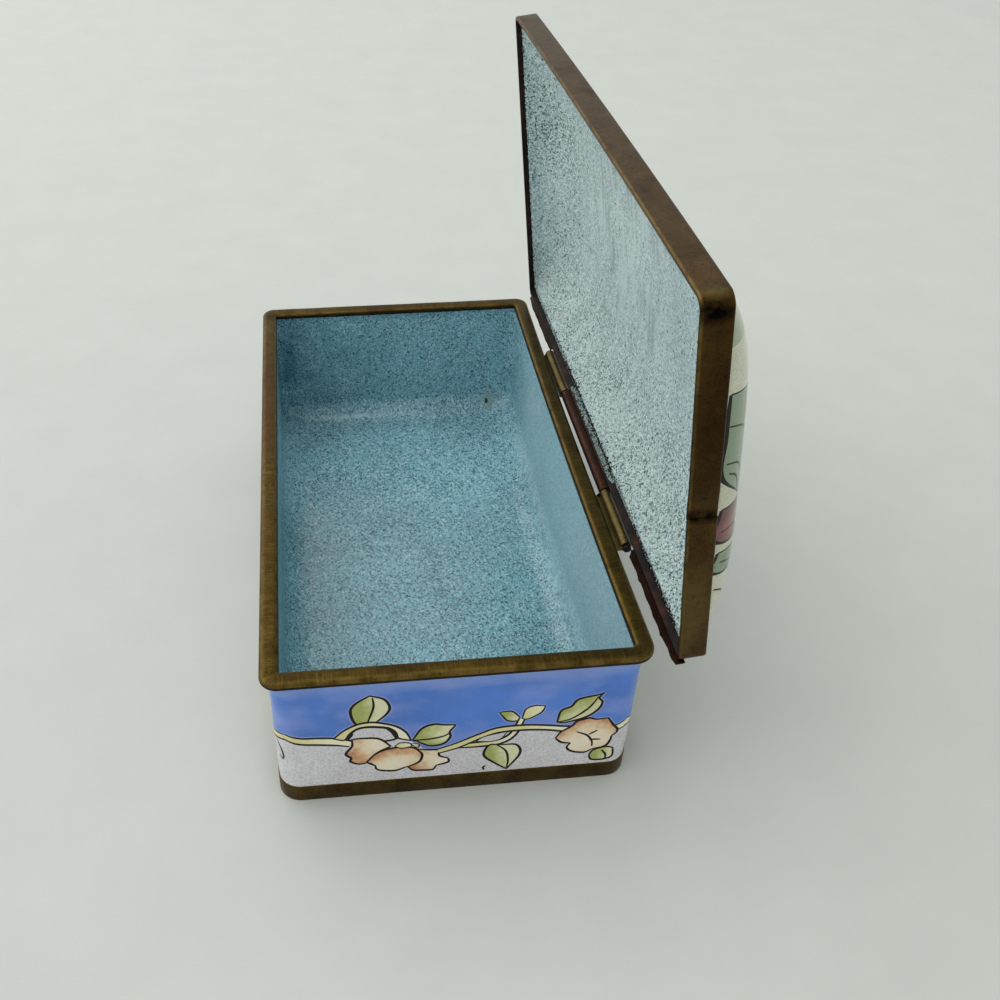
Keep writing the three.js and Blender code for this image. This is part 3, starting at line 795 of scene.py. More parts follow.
def foxglove_vine(picture, shift, flip=1, sway=0.0):
    """One repeat of the wall's border: a vine with an arched shoot, leaves and open flowers.
    It spans 52.8 mm around shift; across is measured along the wall and up from the table."""
    picture.shift, picture.flip, picture.sway = shift, flip, sway
    stem = picture.band
    shape = picture.motif
    stem([(-26.4, 15.4, 1.2), (-25.6, 15.2, 1.2), (-23.6, 14.5, 1.4), (-21, 14.2, 1.6), (-18.5, 13.8, 1.6),
          (-16.4, 13.1, 1.3)], "vine")
    shape([[(-12.5, 17.7), (-15.3, 17.5), (-16.2, 20.3), (-15.5, 22.1), (-13.3, 23.7)],
           [(-13.3, 23.7), (-11.2, 22.7), (-10.4, 20.9), (-10.9, 19.4), (-12.5, 17.7)]],
          "leaf", ((-13.4, 20.4), (-10.8, 20.6), (-13.2, 23.4)),
          lines=[[(-12.9, 23.2), (-12.8, 21.1), (-13.7, 17.9)]])
    shape([[(-18.9, 14.6), (-17.3, 16.3), (-15.3, 17.5), (-13.3, 17.8), (-11.3, 17.3), (-9.3, 16.3),
            (-7.9, 14.7), (-7.2, 12.8)],
           [(-7.2, 12.8), (-9.1, 13.6), (-9.5, 14.9), (-10.5, 16.1), (-12.1, 16.6), (-13.9, 16.8),
            (-15.3, 16.5), (-16.5, 15.4), (-17.3, 14.1), (-18.9, 14.6)]],
          "vine", ((-13.3, 16.6), (-8, 16.6), (-13.3, 17.9)))
    shape([[(-17.1, 14.0), (-16.4, 15.3), (-15.3, 16.4), (-13.9, 16.7), (-12.1, 16.5), (-10.6, 16.0),
            (-9.7, 14.9), (-9.4, 13.6), (-11.5, 13.2), (-14.5, 14.0), (-17.1, 14.0)]],
          "white", None)
    picture.pen([(-10.9, 16.3), (-9.9, 15.2), (-9.4, 13.7)], 1.9)
    picture.pen([(-16.9, 14.1), (-16.0, 15.5)], 1.3)
    shape([[(-16.2, 14.1), (-14.8, 14.2), (-12.1, 13.8), (-10.3, 11.8)],
           [(-10.3, 11.8), (-12.4, 10.4), (-14.1, 8.1)],
           [(-14.1, 8.1), (-15.3, 8.0), (-16.6, 8.8), (-16.4, 9.6), (-17.2, 10.7), (-16.2, 12.5),
            (-16.2, 14.1)]],
          "petal", ((-12.2, 12.8), (-17.8, 12.0), (-13.0, 7.0), 1))
    shape([[(-14.1, 8.3), (-12.4, 10.4), (-10.1, 11.3), (-7.3, 11.2), (-5.8, 9.9), (-5.4, 8.2)],
           [(-5.4, 8.2), (-6.4, 6.6), (-7.9, 6.3)], [(-7.9, 6.3), (-9.8, 5.6), (-12.3, 6.1), (-12.8, 7.3)],
           [(-12.8, 7.3), (-14.1, 8.3)]],
          "petal", ((-10.2, 6.6), (-4.6, 7.6), (-9.8, 11.6), 1))
    shape([[(-6.4, 10.6), (-4.6, 10.2), (-2.9, 9.9), (-2.8, 8.5), (-1.4, 7.7)],
           [(-1.4, 7.7), (-1.4, 6.7), (-3.2, 6.1)],
           [(-3.2, 6.1), (-3.8, 5.1), (-5.1, 5.1), (-6.8, 5.3), (-7.7, 6.3)],
           [(-7.7, 6.3), (-5.9, 7.4), (-5.5, 9.2), (-6.4, 10.6)]],
          "petal", ((-2.8, 7.2), (-7.2, 8.2), (-3.0, 11.2), 1))
    shape([[(-9.7, 11.7), (-8.9, 12.4), (-7.5, 12.2), (-7.0, 11.4)], [(-7.0, 11.4), (-8.7, 11.1),
           (-9.7, 11.7)]], "vine", ((-8.3, 11.7), (-7, 11.7), (-8.3, 12.4)), 0.6)
    shape([[(-7.3, 12.0), (-6.2, 10.9), (-6.0, 11.8), (-7.3, 12.0)]], "petal",
          ((-6.6, 11.6), (-6, 11.6), (-6.6, 12.0)), 0.5)
    shape([[(-7.0, 12.8), (-5.6, 15.4), (-3.8, 16.2), (-2.2, 15.9), (-0.4, 15.7)],
           [(-0.4, 15.7), (-1.3, 14.2), (-1.2, 12.9), (-2.3, 11.4), (-4.4, 11.2), (-6.4, 12.6)],
           [(-6.4, 12.6), (-7.0, 12.8)]],
          "leaf", ((-3.8, 13.6), (-0.6, 14.6), (-4.2, 16.2)),
          lines=[[(-6.7, 12.8), (-4.2, 12.8), (-2.1, 13.3), (-1.3, 14.0)]])
    stem([(0, 10.5, 0.9), (3.5, 10.5, 1.1), (6.5, 10.8, 1.1), (8.5, 12.4, 1.0), (9.7, 15.9, 0.9)], "vine")
    stem([(-3, 9.6, 1.0), (0, 10.7, 1.2), (3.4, 12.5, 1.1), (6.2, 13.6, 1.2), (10.3, 13.75, 1.2),
          (13.8, 13.3, 1.1), (16.5, 12.7, 1.2), (20, 12.3, 1.1), (24, 12, 1.1), (26.4, 12.5, 1.6)], "vine")
    shape([[(2.8, 11.3), (4.3, 12.4), (7.6, 13.1)], [(7.6, 13.1), (6.7, 11.5), (5.1, 11.0), (2.8, 11.3)]],
          "white", None, 0.55)
    shape([[(9.3, 16.3), (8.0, 17.8), (6.1, 17.8)], [(6.1, 17.8), (7.4, 15.8), (8.9, 15.5), (9.3, 16.3)]],
          "leaf", ((7.8, 16.8), (8.9, 16.1), (8.4, 17.6)), 0.7)
    shape([[(9.7, 15.9), (10.1, 18.0), (11.4, 18.7), (13.1, 18.5)],
           [(13.1, 18.5), (12.5, 17.0), (10.7, 15.8), (9.7, 15.9)]],
          "vine", ((11.4, 17.3), (13.1, 18.5), (10.8, 18.2)), 0.7)
    shape([[(6.8, 10.0), (4.9, 10.1), (4.2, 7.7), (5.9, 5.6), (8.0, 3.7)],
           [(8.0, 3.7), (9.9, 7.4), (9.2, 9.7), (6.8, 10.0)]],
          "leaf", ((7.0, 7.4), (9.8, 8.0), (6.6, 10.2)),
          lines=[[(6.1, 10.1), (7.6, 8.4), (8.1, 6.1), (8.0, 3.9)]])
    picture.pen([(4.4, 3.9), (4.2, 4.6), (4.6, 5.0)], 0.9)
    shape([[(15.2, 14.4), (15.6, 17.0), (17.1, 17.9), (18.1, 19.4), (21.1, 20.1), (21.9, 20.5)],
           [(21.9, 20.5), (21.2, 19.4), (21.8, 18.4), (21.3, 16.7), (19.5, 15.1), (16.5, 14.2),
            (15.2, 14.4)]],
          "leaf", ((18.6, 17.0), (20.8, 15.2), (20.6, 19.2)),
          lines=[[(15.2, 14.4), (17.4, 15.0), (19.8, 17.2), (21.1, 19.7)]])
    shape([[(15.3, 10.5), (16.0, 11.9), (17.6, 13.2), (18.4, 14.3), (20.3, 14.8), (21.3, 14.4),
            (23.2, 14.5)], [(23.2, 14.5), (24.1, 12.9), (24.9, 11.7), (24.9, 10.8), (24.2, 10.1)],
           [(24.2, 10.1), (24.1, 9.0), (23.4, 7.6), (21.4, 7.1)],
           [(21.4, 7.1), (20.2, 6.4), (18.2, 6.9), (17.3, 8.0), (17.8, 9.0)],
           [(17.8, 9.0), (16.3, 9.4), (15.3, 10.5)]],
          "petal", ((19.8, 9.2), (26.2, 10.2), (20.0, 15.2), 1),
          lines=[[(18.5, 11.7), (20.3, 10.6), (21.2, 9.0), (21.3, 7.8)], [(20.5, 10.8), (21.8, 11.7)],
                 [(20.7, 9.6), (22.5, 9.4)]])
    shape([[(21.1, 5.6), (21.6, 4.4), (23.5, 4.2), (24.9, 4.9), (24.8, 7.0)],
           [(24.8, 7.0), (23.6, 7.4), (21.7, 6.8), (21.1, 5.6)]],
          "leaf", ((23.0, 5.6), (24.8, 5.6), (23.0, 7.2)), lines=[[(23.0, 6.7), (23.8, 5.4), (23.8, 4.3)]])


# Where the blue ground meets the white one behind the vine, over one repeat
BOUNDARY = ((-26.4, 15.5), (-24.0, 14.5), (-18.5, 14.0), (-16.2, 15.2), (-13.5, 16.9), (-10.5, 16.4),
            (-8.6, 14.4), (-7.4, 12.9), (-5.5, 10.8), (-3.0, 9.6), (0.0, 10.7), (3.4, 12.5), (6.2, 13.6),
            (10.3, 13.75), (16.5, 12.7), (20.0, 12.3), (26.4, 12.6))


def wall_picture(plan, line):
    """The whole border around the wall. Every other repeat is turned round, and all but the near one
    sway a little; the one behind the far side is drawn at both ends."""
    picture = Picture(["blue", "white", *WALL_PAINTS], line)
    pitch = plan.length / BORDER_REPEATS
    half = BORDER_REPEATS // 2
    for repeat in range(-half, half + 1):
        foxglove_vine(picture, repeat * pitch, -1 if repeat % 2 else 1, 0.16 if repeat else 0.0)
    picture.shift, picture.flip, picture.sway = 0.0, 1, 0.0
    tendril = [(-28.0, 13.6), (-27.4, 12.6), (-27.0, 11.6), (-26.8, 10.2), (-27.2, 9.5), (-27.6, 10.1)]
    picture.pen(tendril, 0.9)
    return picture


def lid_plan():
    """The closed lid's outline about its own middle."""
    return Plan(LID_HALF_X, LID_HALF_Y, LID_CORNERS, 0.0, LID_FRONT_BOW)


def shoulder(x, y, half_x, half_y):
    """The pillow's rise over a plan position, from 0 at its edge to nearly 1 over the middle."""
    across, along = min(1.0, abs(x) / half_x), min(1.0, abs(y) / half_y)
    steep = (1 - across ** DOME_POWER_LONG) ** DOME_END_EXPONENT * (1 - along ** DOME_POWER_SHORT)
    crown = (1 - across ** 2) * (1 - along ** 2)
    return (DOME_SHOULDER * steep + DOME_CROWN * crown) / (DOME_SHOULDER + DOME_CROWN)


def matched(s, plan, other):
    """The length on another plan at the same share of the same stretch."""
    stretch, share = plan.stretch_at(s)
    return other.starts[stretch] + share * other.lengths[stretch]


def enamelled_tray(look, sizes):
    """The tray: painted wall, turned-in top edge, speckled inside with its coved floor, underside."""
    plan = Plan(WALL_HALF_X, WALL_HALF_Y, (WALL_CORNER,) * 4, BACK_BOW)
    wall, cove_radius, floor_top = sizes.wall / MM, sizes.cove / MM, sizes.floor / MM
    inner = Plan(WALL_HALF_X - wall, WALL_HALF_Y - wall, (INNER_CORNER,) * 4, BACK_BOW)
    half = plan.length / 2
    foot, top = WALL_FOOT, WALL_TOP
    picture = wall_picture(plan, sizes.line / MM)
    stops = [s - plan.length if s > half else s for s in plan.stations(2.5, 9)]
    guides = [np.array([(s, foot), (s, top)]) for s in sorted(stops + [-half, half])]
    guides += [np.array([(-half - 1, z), (half + 1, z)]) for z in (foot, 3.9, 5.6, 25.4, 26.8, top)]
    pitch = plan.length / BORDER_REPEATS
    edge = np.array(BOUNDARY)

    def keep(middles):
        return (abs(middles[:, 0]) < half) & (middles[:, 1] > foot) & (middles[:, 1] < top)

    def ground(middles):
        repeat = np.round(middles[:, 0] / pitch)
        local = (middles[:, 0] - repeat * pitch) * np.where(repeat % 2, -1, 1)
        return np.where(middles[:, 1] > np.interp(local, edge[:, 0], edge[:, 1]), 0, 1)

    spots, faces, paint, places = picture.mesh(guides, keep, ground)
    shown = set(faces.ravel())
    left = {round(z, 3): i for i, (s, z) in enumerate(spots) if abs(s + half) < 1e-5 and i in shown}
    weld = {i: left[round(z, 3)] for i, (s, z) in enumerate(spots)
            if abs(s - half) < 1e-5 and round(z, 3) in left}
    faces = np.vectorize(lambda i: weld.get(i, i))(faces)
    used = np.unique(faces)
    index = {old: new for new, old in enumerate(used)}
    skin = Skin()
    for i in used:
        s, z = spots[i]
        share = (z - foot) / (top - foot)
        swell = 0.10 * math.sin(math.pi * share) + 0.03 * noise.noise((s / 9, z / 9, 1.7))
        x, y = plan.point(s, -swell * (1 - (2 * share - 1) ** 8), shrunk)
        skin.points.append((x, y, z))
    for i, (a, b, c) in enumerate(faces):
        skin.face((index[a], index[b], index[c]), int(paint[i]))
        skin.motifs[i] = places[i]
    rings = borders(skin.faces)
    lower = min(rings, key=lambda ring: skin.points[ring[0]][2])
    upper = max(rings, key=lambda ring: skin.points[ring[0]][2])[::-1]
    order = {new: spots[old][0] for old, new in index.items()}
    petrol, under = len(picture.names), len(picture.names) + 1

    # The underside: a shallow recess, the ring that the box stands on, and the wall behind the foot strip
    below = [order[i] for i in lower]
    last = None
    for inset, z in ((6.0, 0.5), (3.6, 0.5), (2.9, 0.42), (2.3, 0.12), (1.9, 0.0), (0.9, 0.0), (0.6, 0.12),
                     (0.5, 0.35), (0.5, foot)):
        last = skin.grow(last, skin.ring(plan.ring(below, inset, z, shrunk)), under)
    skin.bridge(last, lower, 1)

    # The inside: down the wall, around the cove and in over the floor, which is a little uneven
    above = [matched(order[i], plan, inner) for i in upper]
    last = upper
    drop = [(0.0, top), (0.0, 24.0), (0.0, 20.0), (0.0, 16.0), (0.0, 12.0), (0.0, 9.0)]
    cove = [(cove_radius * (1 - math.cos(a)), floor_top + cove_radius * (1 - math.sin(a)))
            for a in np.linspace(0, math.pi / 2, 13)]
    field = [(inset, floor_top) for inset in (6.5, 8.5, 11.0, 14.0, 17.0, 20.0, 23.0)]
    for inset, z in drop + cove + field:
        points = []
        for x, y, level in inner.ring(above, inset, z, grown):
            sag = 0.09 * noise.noise((x / 11, y / 11, 4.1)) if inset >= cove_radius else 0.0
            points.append((x, y, level + sag))
        last = skin.grow(last, skin.ring(points), petrol)
    skin.cap(last, petrol)
    piece = skin.make("painted_enamel_tray", look)
    return checked(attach(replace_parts(piece, "enamelled_copper_tray"), "box"))


def checked(piece):
    """A finished piece, or an error where it has no faces."""
    if not piece.data.polygons:
        raise RuntimeError(piece.name + " has no faces")
    return piece


def mouth_rim(looks, sizes):
    """The rolled brass rim over the tray's edge, a little wavy from the hammer. Its underside and the
    face towards the inside were never polished; the foot of its outer roll is blackened too, as a
    painted shadow line under the rim."""
    plan = Plan(RIM_HALF_X, RIM_HALF_Y, RIM_CORNERS, BACK_BOW)
    top = RIM_TOP
    roll = 0.8
    edge = [(0.3, top - 1.25), (0.12, top - 1.2), (0.03, top - 1.08), (0.0, top - 0.95)]
    edge += [(roll - roll * math.cos(a), top - roll + roll * math.sin(a))
             for a in np.linspace(0, math.pi / 2, 8)]
    edge += [(1.3, top), (1.8, top - 0.02), (2.3, top - 0.06), (2.6, top - 0.16), (2.78, top - 0.32),
             (2.87, top - 0.5), (2.9, top - 0.75), (2.9, top - 1.15), (2.82, top - 1.2),
             (2.45, top - 1.2), (2.45, top - 0.6), (1.15, top - 0.6), (1.15, top - 1.25)]
    # The steps of the section that face down or into the box, and the foot of the outer roll, which
    # is blackened as a painted shadow line under the rim
    hidden = (0, 1, 2, 3, 4, *range(17, 25))
    depth = sizes.hammer / MM

    def hammered(s, across, point):
        x, y, z = point
        if z < top - 0.55:
            return point
        dent = 0.5 + 0.5 * noise.noise((x / 5, y / 5, across / 2))
        crease = sum(max(0.0, 1 - math.dist((x, y), dip) / CREASE_RADIUS) for dip in RIM_CREASES)
        return x, y, z - depth * dent - CREASE_DEPTH * min(1.0, crease)

    piece = hoop("rolled_brass_rim", plan, edge, plan.stations(0.8, 16), looks, hidden, hammered)
    return checked(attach(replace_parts(piece, "brass_mouth_rim"), "box"))


def lid_band(looks, sizes):
    """The brass band around the lid, its lip turned in over the panel's edge, with a lapped seam on the
    near side, where one end of the strip stands over the other."""
    plan = lid_plan()
    top = BAND_HEIGHT
    thick, lip = 0.7, 1.3
    edge = [(0.3, 0.0), (0.12, 0.04), (0.03, 0.13), (0.0, 0.3), (0.0, 1.0), (0.0, 2.0), (0.0, 3.0),
            (0.0, top - 0.35), (0.05, top - 0.16), (0.16, top - 0.05), (0.35, top), (0.8, top),
            (1.1, top - 0.04), (1.25, top - 0.14), (lip, top - 0.28), (lip, top - 0.4), (thick, top - 0.4),
            (thick, 2.0), (thick, 0.2), (0.64, 0.06), (0.5, 0.0)]
    depth = sizes.hammer / MM * 0.7
    near_side = 54.5

    def hammered(s, across, point):
        x, y, z = point
        middle = math.hypot(x, y)
        dent = depth * (0.5 + 0.5 * noise.noise((x / 5, y / 5, z / 2)))
        lap = 0.0
        if x > near_side and LID_SEAM - LAP_RUN < s <= LID_SEAM:
            lap = LAP_STEP * (s - LID_SEAM + LAP_RUN) / LAP_RUN
        return x * (1 - dent / middle) - lap, y * (1 - dent / middle), z

    by_seam = [LID_SEAM + step for step in (-2.4, -1.6, -0.8, -0.3, 0.0, 0.12, 0.3, 0.8)]
    piece = hoop("lid_edge_brass_band", plan, edge, plan.stations(1.6, 10, by_seam), looks, range(16, 20),
                 hammered, LID)
    return checked(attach(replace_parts(piece, "brass_lid_band"), "lid"))


def torn_edge(name, profile, look, sizes):
    """A thin, ragged skirt of brass where the lid band's lower edge is torn, beside the knuckles.
    profile lists (along the hinge, depth, how far it is bent outwards), in millimetres."""
    depth = sizes.torn / MM
    along = np.arange(profile[0][0], profile[-1][0], 0.35)
    knots = np.array(profile)
    face = LID_HALF_Y + 0.015
    skin = Skin()
    last = None
    for x in along:
        down = depth * np.interp(x, knots[:, 0], knots[:, 1])
        down *= 1 + 0.3 * noise.noise((x / 3.1, 3.0, 1.0)) + 0.16 * noise.noise((x / 0.9, 1.0, 5.0))
        bent = np.interp(x, knots[:, 0], knots[:, 2]) * (1 + 0.4 * noise.noise((x / 0.8, 9.0, 2.0)))
        last = skin.grow(last, skin.ring([
            (x, face - 0.1, 0.9), (x, face - 0.1, 0.0), (x, face - 0.06 + bent, -down),
            (x, face + 0.06 + bent, -down), (x, face + 0.09 + bent * 0.4, 0.0), (x, face + 0.03, 0.9),
        ]), 0)
    skin.cap(last, 0)
    piece = skin.make(name, [look], LID, 50)
    return checked(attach(piece, "lid"))


def placed(points, x, y, angle, size):
    """A small shape's own points, scaled, turned and set down at x, y."""
    c, s = math.cos(angle) * size, math.sin(angle) * size
    return [(x + c * u - s * v, y + s * u + c * v) for u, v in points]


def spray_leaf(picture, x, y, angle, length, plump, paint):
    """A pointed leaf with its midrib and side veins; x, y is its foot."""
    angle = math.radians(angle)
    upper = [(0, 0), (0.14, 0.62 * plump), (0.42, plump * 0.98), (0.72, 0.6 * plump), (1, 0)]
    lower = [(1, 0), (0.78, -0.5 * plump), (0.46, -0.86 * plump), (0.16, -0.6 * plump), (0, 0)]
    veins = [[(0.02, 0), (0.4, 0.04), (0.93, 0)]]
    veins += [[(t, 0.03), (t + 0.14, side * plump * 0.55)] for t in (0.2, 0.4, 0.6) for side in (1, -1)]
    axes = placed([(0.45, 0), (1.0, 0), (0.45, plump)], x, y, angle, length)
    picture.motif([placed(upper, x, y, angle, length), placed(lower, x, y, angle, length)], paint, axes,
                  1.0, [placed(vein, x, y, angle, length) for vein in veins])


def spray_bud(picture, x, y, angle, size):
    """A half-open bud: two outer petals, the folded heart and a two-toothed calyx."""
    angle = math.radians(angle)

    def shape(runs, paint, middle, lines=()):
        across, up = (middle[0] + 0.55, middle[1]), (middle[0], middle[1] + 0.5)
        axes = placed([middle, across, up], x, y, angle, size)
        picture.motif([placed(run, x, y, angle, size) for run in runs], paint, axes + [1], 0.9,
                      [placed(line, x, y, angle, size) for line in lines])

    shape([[(0.3, 0.0), (0.4, 0.44), (0.8, 0.42), (1.02, 0.1)], [(1.02, 0.1), (0.9, -0.3), (0.5, -0.42),
          (0.3, 0.0)]], "rose", (0.65, 0.0), [[(0.55, 0.3), (0.75, 0.1), (0.95, 0.12)]])
    shape([[(0.26, 0.0), (0.3, 0.5), (0.62, 0.62), (0.82, 0.36)], [(0.82, 0.36), (0.62, 0.12), (0.26, 0.0)]],
          "bud", (0.5, 0.3))
    shape([[(0.26, 0.0), (0.34, -0.46), (0.66, -0.56), (0.86, -0.26)],
           [(0.86, -0.26), (0.6, -0.1), (0.26, 0.0)]], "bud", (0.52, -0.3))
    shape([[(0.0, 0.0), (0.14, 0.3), (0.46, 0.34)], [(0.46, 0.34), (0.34, 0.1), (0.5, 0.0)],
           [(0.5, 0.0), (0.34, -0.12), (0.44, -0.34)], [(0.44, -0.34), (0.12, -0.26), (0.0, 0.0)]],
          "leaf", (0.2, 0.0))


def spray_of_buds(picture):
    """The lid's picture: two long stems that cross, their leaves and rose buds, and at the near end
    a broad leaf, a bud and a leaf that come down over the shoulder."""
    picture.fill([(40.5, -27.9), (53.4, -27.9), (53.4, -26.2), (44, -25.4)], "blush", None)
    picture.fill([(34, -26.2), (53.4, -26.0), (53.4, -21.6), (46, -20.8), (38, -22.5)], "wash", None)
    stems = (
        [(-47, 15, 0.9), (-34, 8, 0.9), (-20, 3, 1.0), (-4, 1, 1.1), (12, 3, 1.0), (28, 1, 0.9),
         (40, -3, 0.8)],
        [(-42, -17, 0.8), (-28, -8, 0.9), (-12, -3, 1.0), (0, 1, 1.0), (14, 9, 0.9), (27, 16, 0.8)],
        [(-20, 3, 0.8), (-14, 11, 0.7), (-10, 18, 0.6)],
        [(12, 3, 0.8), (19, -6, 0.7), (24, -14, 0.6)],
    )
    for stem in stems:
        picture.band(stem, "vine", 0.85, 0.0)
    for x, y, angle, length, paint in (
            (-34, 8, 120, 13, "grey_leaf"), (-31, 6.5, -62, 11, "leaf"), (-16, 3, -108, 15, "grey_leaf"),
            (-22, 4, 76, 11, "leaf"), (-2, 1, 84, 15, "grey_leaf"), (4, 1.4, -66, 14, "leaf"),
            (18, 3, 62, 10, "leaf"), (24, 1.4, -50, 11, "grey_leaf"), (14, 9, 112, 12, "grey_leaf"),
            (21, 12.4, -28, 11, "leaf"), (-28, -8, -78, 11, "leaf"), (-35, -12, 84, 9, "grey_leaf"),
            (-12, 14, 28, 9, "leaf"), (20, -8, -150, 9, "leaf"), (34, -1, 58, 11, "grey_leaf")):
        spray_leaf(picture, x, y, angle, length, 0.3, paint)
    for x, y, angle, size in (
            (-47, 15, 152, 9.5), (-42, -17, 206, 9), (-10, 17.6, 64, 8.5), (27, 16, 30, 8.5),
            (24, -13.6, -66, 9.5), (40, -3, -16, 8)):
        spray_bud(picture, x, y, angle, size)
    picture.motif([[(50.6, 2.6), (47.2, -1.5), (45.8, -7), (48.0, -12.4), (53.3, -15.0)],
                   [(53.3, -15.0), (53.4, -9.0), (53.35, -2.0), (50.6, 2.6)]], "grey_leaf",
                  ((50, -6), (52.6, -6), (50, 3)), 1.0,
                  [[(53.2, -10.2), (50.5, -8.0), (48.6, -4.4)], [(52.9, -2.6), (51.6, -1.0), (50.8, 1.8)],
                   [(53.2, -4.4), (51.4, -3.0), (50.0, -0.6)]])
    picture.motif([[(48.6, 10.8), (47.2, 7.4), (49.2, 4.2), (53.3, 3.0)],
                   [(53.3, 3.0), (53.4, 8.6), (48.6, 10.8)]], "rose",
                  ((51.4, 7), (54.4, 7), (51.4, 10.8), 1), 1.0, [[(49.0, 9.6), (51.0, 7.6), (53.2, 7.0)]])
    picture.motif([[(47.6, 16.6), (49.0, 12.6), (53.3, 10.6)],
                   [(53.3, 10.6), (53.3, 14.4), (47.6, 16.6)]], "grey_leaf",
                  ((51, 13.6), (53.4, 12), (51.6, 15.4)), 1.0, [[(48.8, 15.8), (53.0, 12.6)]])
    picture.pen([(53.3, 17.4), (50.6, 20.6), (48.6, 24.0)], 1.0)


def lid_panel(look, names, sizes):
    """The pressed panel: painted pillow outside, speckled hollow inside."""
    plan = lid_plan()
    stations = plan.stations(2.0, 7)
    skin = Skin()
    pillow = (LID_HALF_X - PANEL_EDGE, LID_HALF_Y - PANEL_EDGE)
    hollow = (LID_HALF_X - HOLLOW_INSET, LID_HALF_Y - HOLLOW_INSET)
    counter = len(names)
    # The hollow, whose enamel lies in lumps near its edge
    last = None
    for inset in (26.0, 22.0, 18.0, 15.0, 12.5, 10.5, 8.8, 7.4, 6.3, 5.4, 4.7, 4.1, 3.6, 3.2, 2.85, 2.55,
                  2.35, 2.2, 2.1, 2.03, 2.0, 1.5, 0.85, 0.75):
        points = []
        for s in stations:
            x, y = plan.point(s, inset, softened)
            lumps = 0.16 * noise.noise((x / 1.3, y / 1.3, 2.0)) * min(1.0, max(0.0, (3.2 - inset) / 1.4))
            if inset < 0.8:
                lumps = 0.0
            points.append((x, y, PANEL_RECESS + HOLLOW_RISE * shoulder(x, y, *hollow) + abs(lumps)))
        last = skin.grow(last, skin.ring(points), counter)
    for inset, z in ((0.75, 3.5), (PANEL_EDGE, 3.5), (PANEL_EDGE, DOME_FOOT)):
        last = skin.grow(last, skin.ring(plan.ring(stations, inset, z, softened)), counter)

    # The pillow, cut along what is painted on it
    picture = Picture(names, sizes.line / MM * 0.75)
    spray_of_buds(picture)
    edge = np.array([plan.point(s, PANEL_EDGE, softened) for s in stations])
    guides = []
    for inset in (PANEL_EDGE, 1.37, 1.42, 1.52, 1.68, 1.9, 2.2, 2.6, 3.1, 3.7, 4.5, 5.5, 6.7, 8.2, 10.0,
                  12.2, 14.8, 17.6, 21.0, 25.0):
        loop = [plan.point(s, inset, softened) for s in stations]
        guides.append(np.array(loop + loop[:1]))
    spots, faces, paint, places = picture.mesh(
        guides, lambda middles: inside(edge, middles), lambda middles: np.zeros(len(middles), int))
    rise = DOME_SHOULDER + DOME_CROWN
    nearest = {}
    for i in np.unique(faces):
        x, y = spots[i]
        near = np.argmin((edge[:, 0] - x) ** 2 + (edge[:, 1] - y) ** 2)
        if math.dist(edge[near], (x, y)) < 1e-4:
            nearest[i] = last[near]
        else:
            nearest[i] = skin.ring([(x, y, DOME_FOOT + rise * shoulder(x, y, *pillow))])[0]
    for i, (a, b, c) in enumerate(faces):
        skin.motifs[len(skin.faces)] = places[i]
        skin.face((nearest[a], nearest[b], nearest[c]), int(paint[i]))
    piece = skin.make("painted_enamel_lid_panel", look, LID)
    return checked(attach(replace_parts(piece, "enamelled_lid_panel"), "lid"))


def rolled_leaf(name, span, start, curl, tongue, matrix, look):
    """A strip of brass rolled around the pin: its tongue runs from the roll to the part it is
    soldered to. start and curl are angles of the roll; tongue lists the tongue's outer side and then
    its inner side, as (y, z) points from the tip back to the roll."""
    inner = KNUCKLE_RADIUS - LEAF_THICKNESS
    angles = np.linspace(start, start + curl, 34)
    outside = [(KNUCKLE_RADIUS * math.cos(a), KNUCKLE_RADIUS * math.sin(a)) for a in angles]
    inside_arc = [(inner * math.cos(a), inner * math.sin(a)) for a in angles[::-1]]
    section = tongue[0] + outside + inside_arc + tongue[1]
    skin = Skin()
    across = run_lengths(section)
    low, high = span
    xs = [low, low + 0.05, low + 0.15, *np.linspace(low + 0.4, high - 0.4, 24), high - 0.15, high - 0.05,
          high]
    rings = []
    for x in xs:
        to_end = min(abs(x - low), abs(x - high))
        trim = 0.06 - 0.4 * to_end if to_end < 0.15 else 0.0
        points = []
        for y, z in section:
            away = math.hypot(y, z)
            worn = trim + 0.02 * (1 + noise.noise((x / 1.7, y * 1.4, z * 1.4)))
            scale = 1 - worn / away if away > KNUCKLE_RADIUS - 0.15 and away < KNUCKLE_RADIUS + 0.1 else 1.0
            points.append((x, y * scale, z * scale))
        rings.append(skin.ring(points))
    count = len(section)
    for i in range(len(rings) - 1):
        for k in range(count):
            m = (k + 1) % count
            skin.face((rings[i][k], rings[i][m], rings[i + 1][m], rings[i + 1][k]), 0)
            here, there = xs[i], xs[i + 1]
            skin.sweeps[len(skin.faces) - 1] = (
                (here, across[k]), (here, across[k + 1]), (there, across[k + 1]), (there, across[k]),
            )
    spots = [Vector(p) for p in section]
    edges = [(i, (i + 1) % count) for i in range(count)]
    found, _, faces, *_ = delaunay_2d_cdt(spots, edges, [], 1, 1e-5, False)
    nearest = [min(range(count), key=lambda k: (spots[k] - p).length) for p in found]
    for ring, turned in ((rings[0], True), (rings[-1], False)):
        for corners in faces:
            a, b, c = (nearest[i] for i in corners)
            area = (spots[b] - spots[a]).cross(spots[c] - spots[a])
            if (area > 0) == turned:
                b, c = c, b
            skin.face((ring[a], ring[b], ring[c]), 0)
            skin.sweeps[len(skin.faces) - 1] = ((0, 0), (0, 0), (0, 0))
    return skin.make(name, [look], matrix, 35)


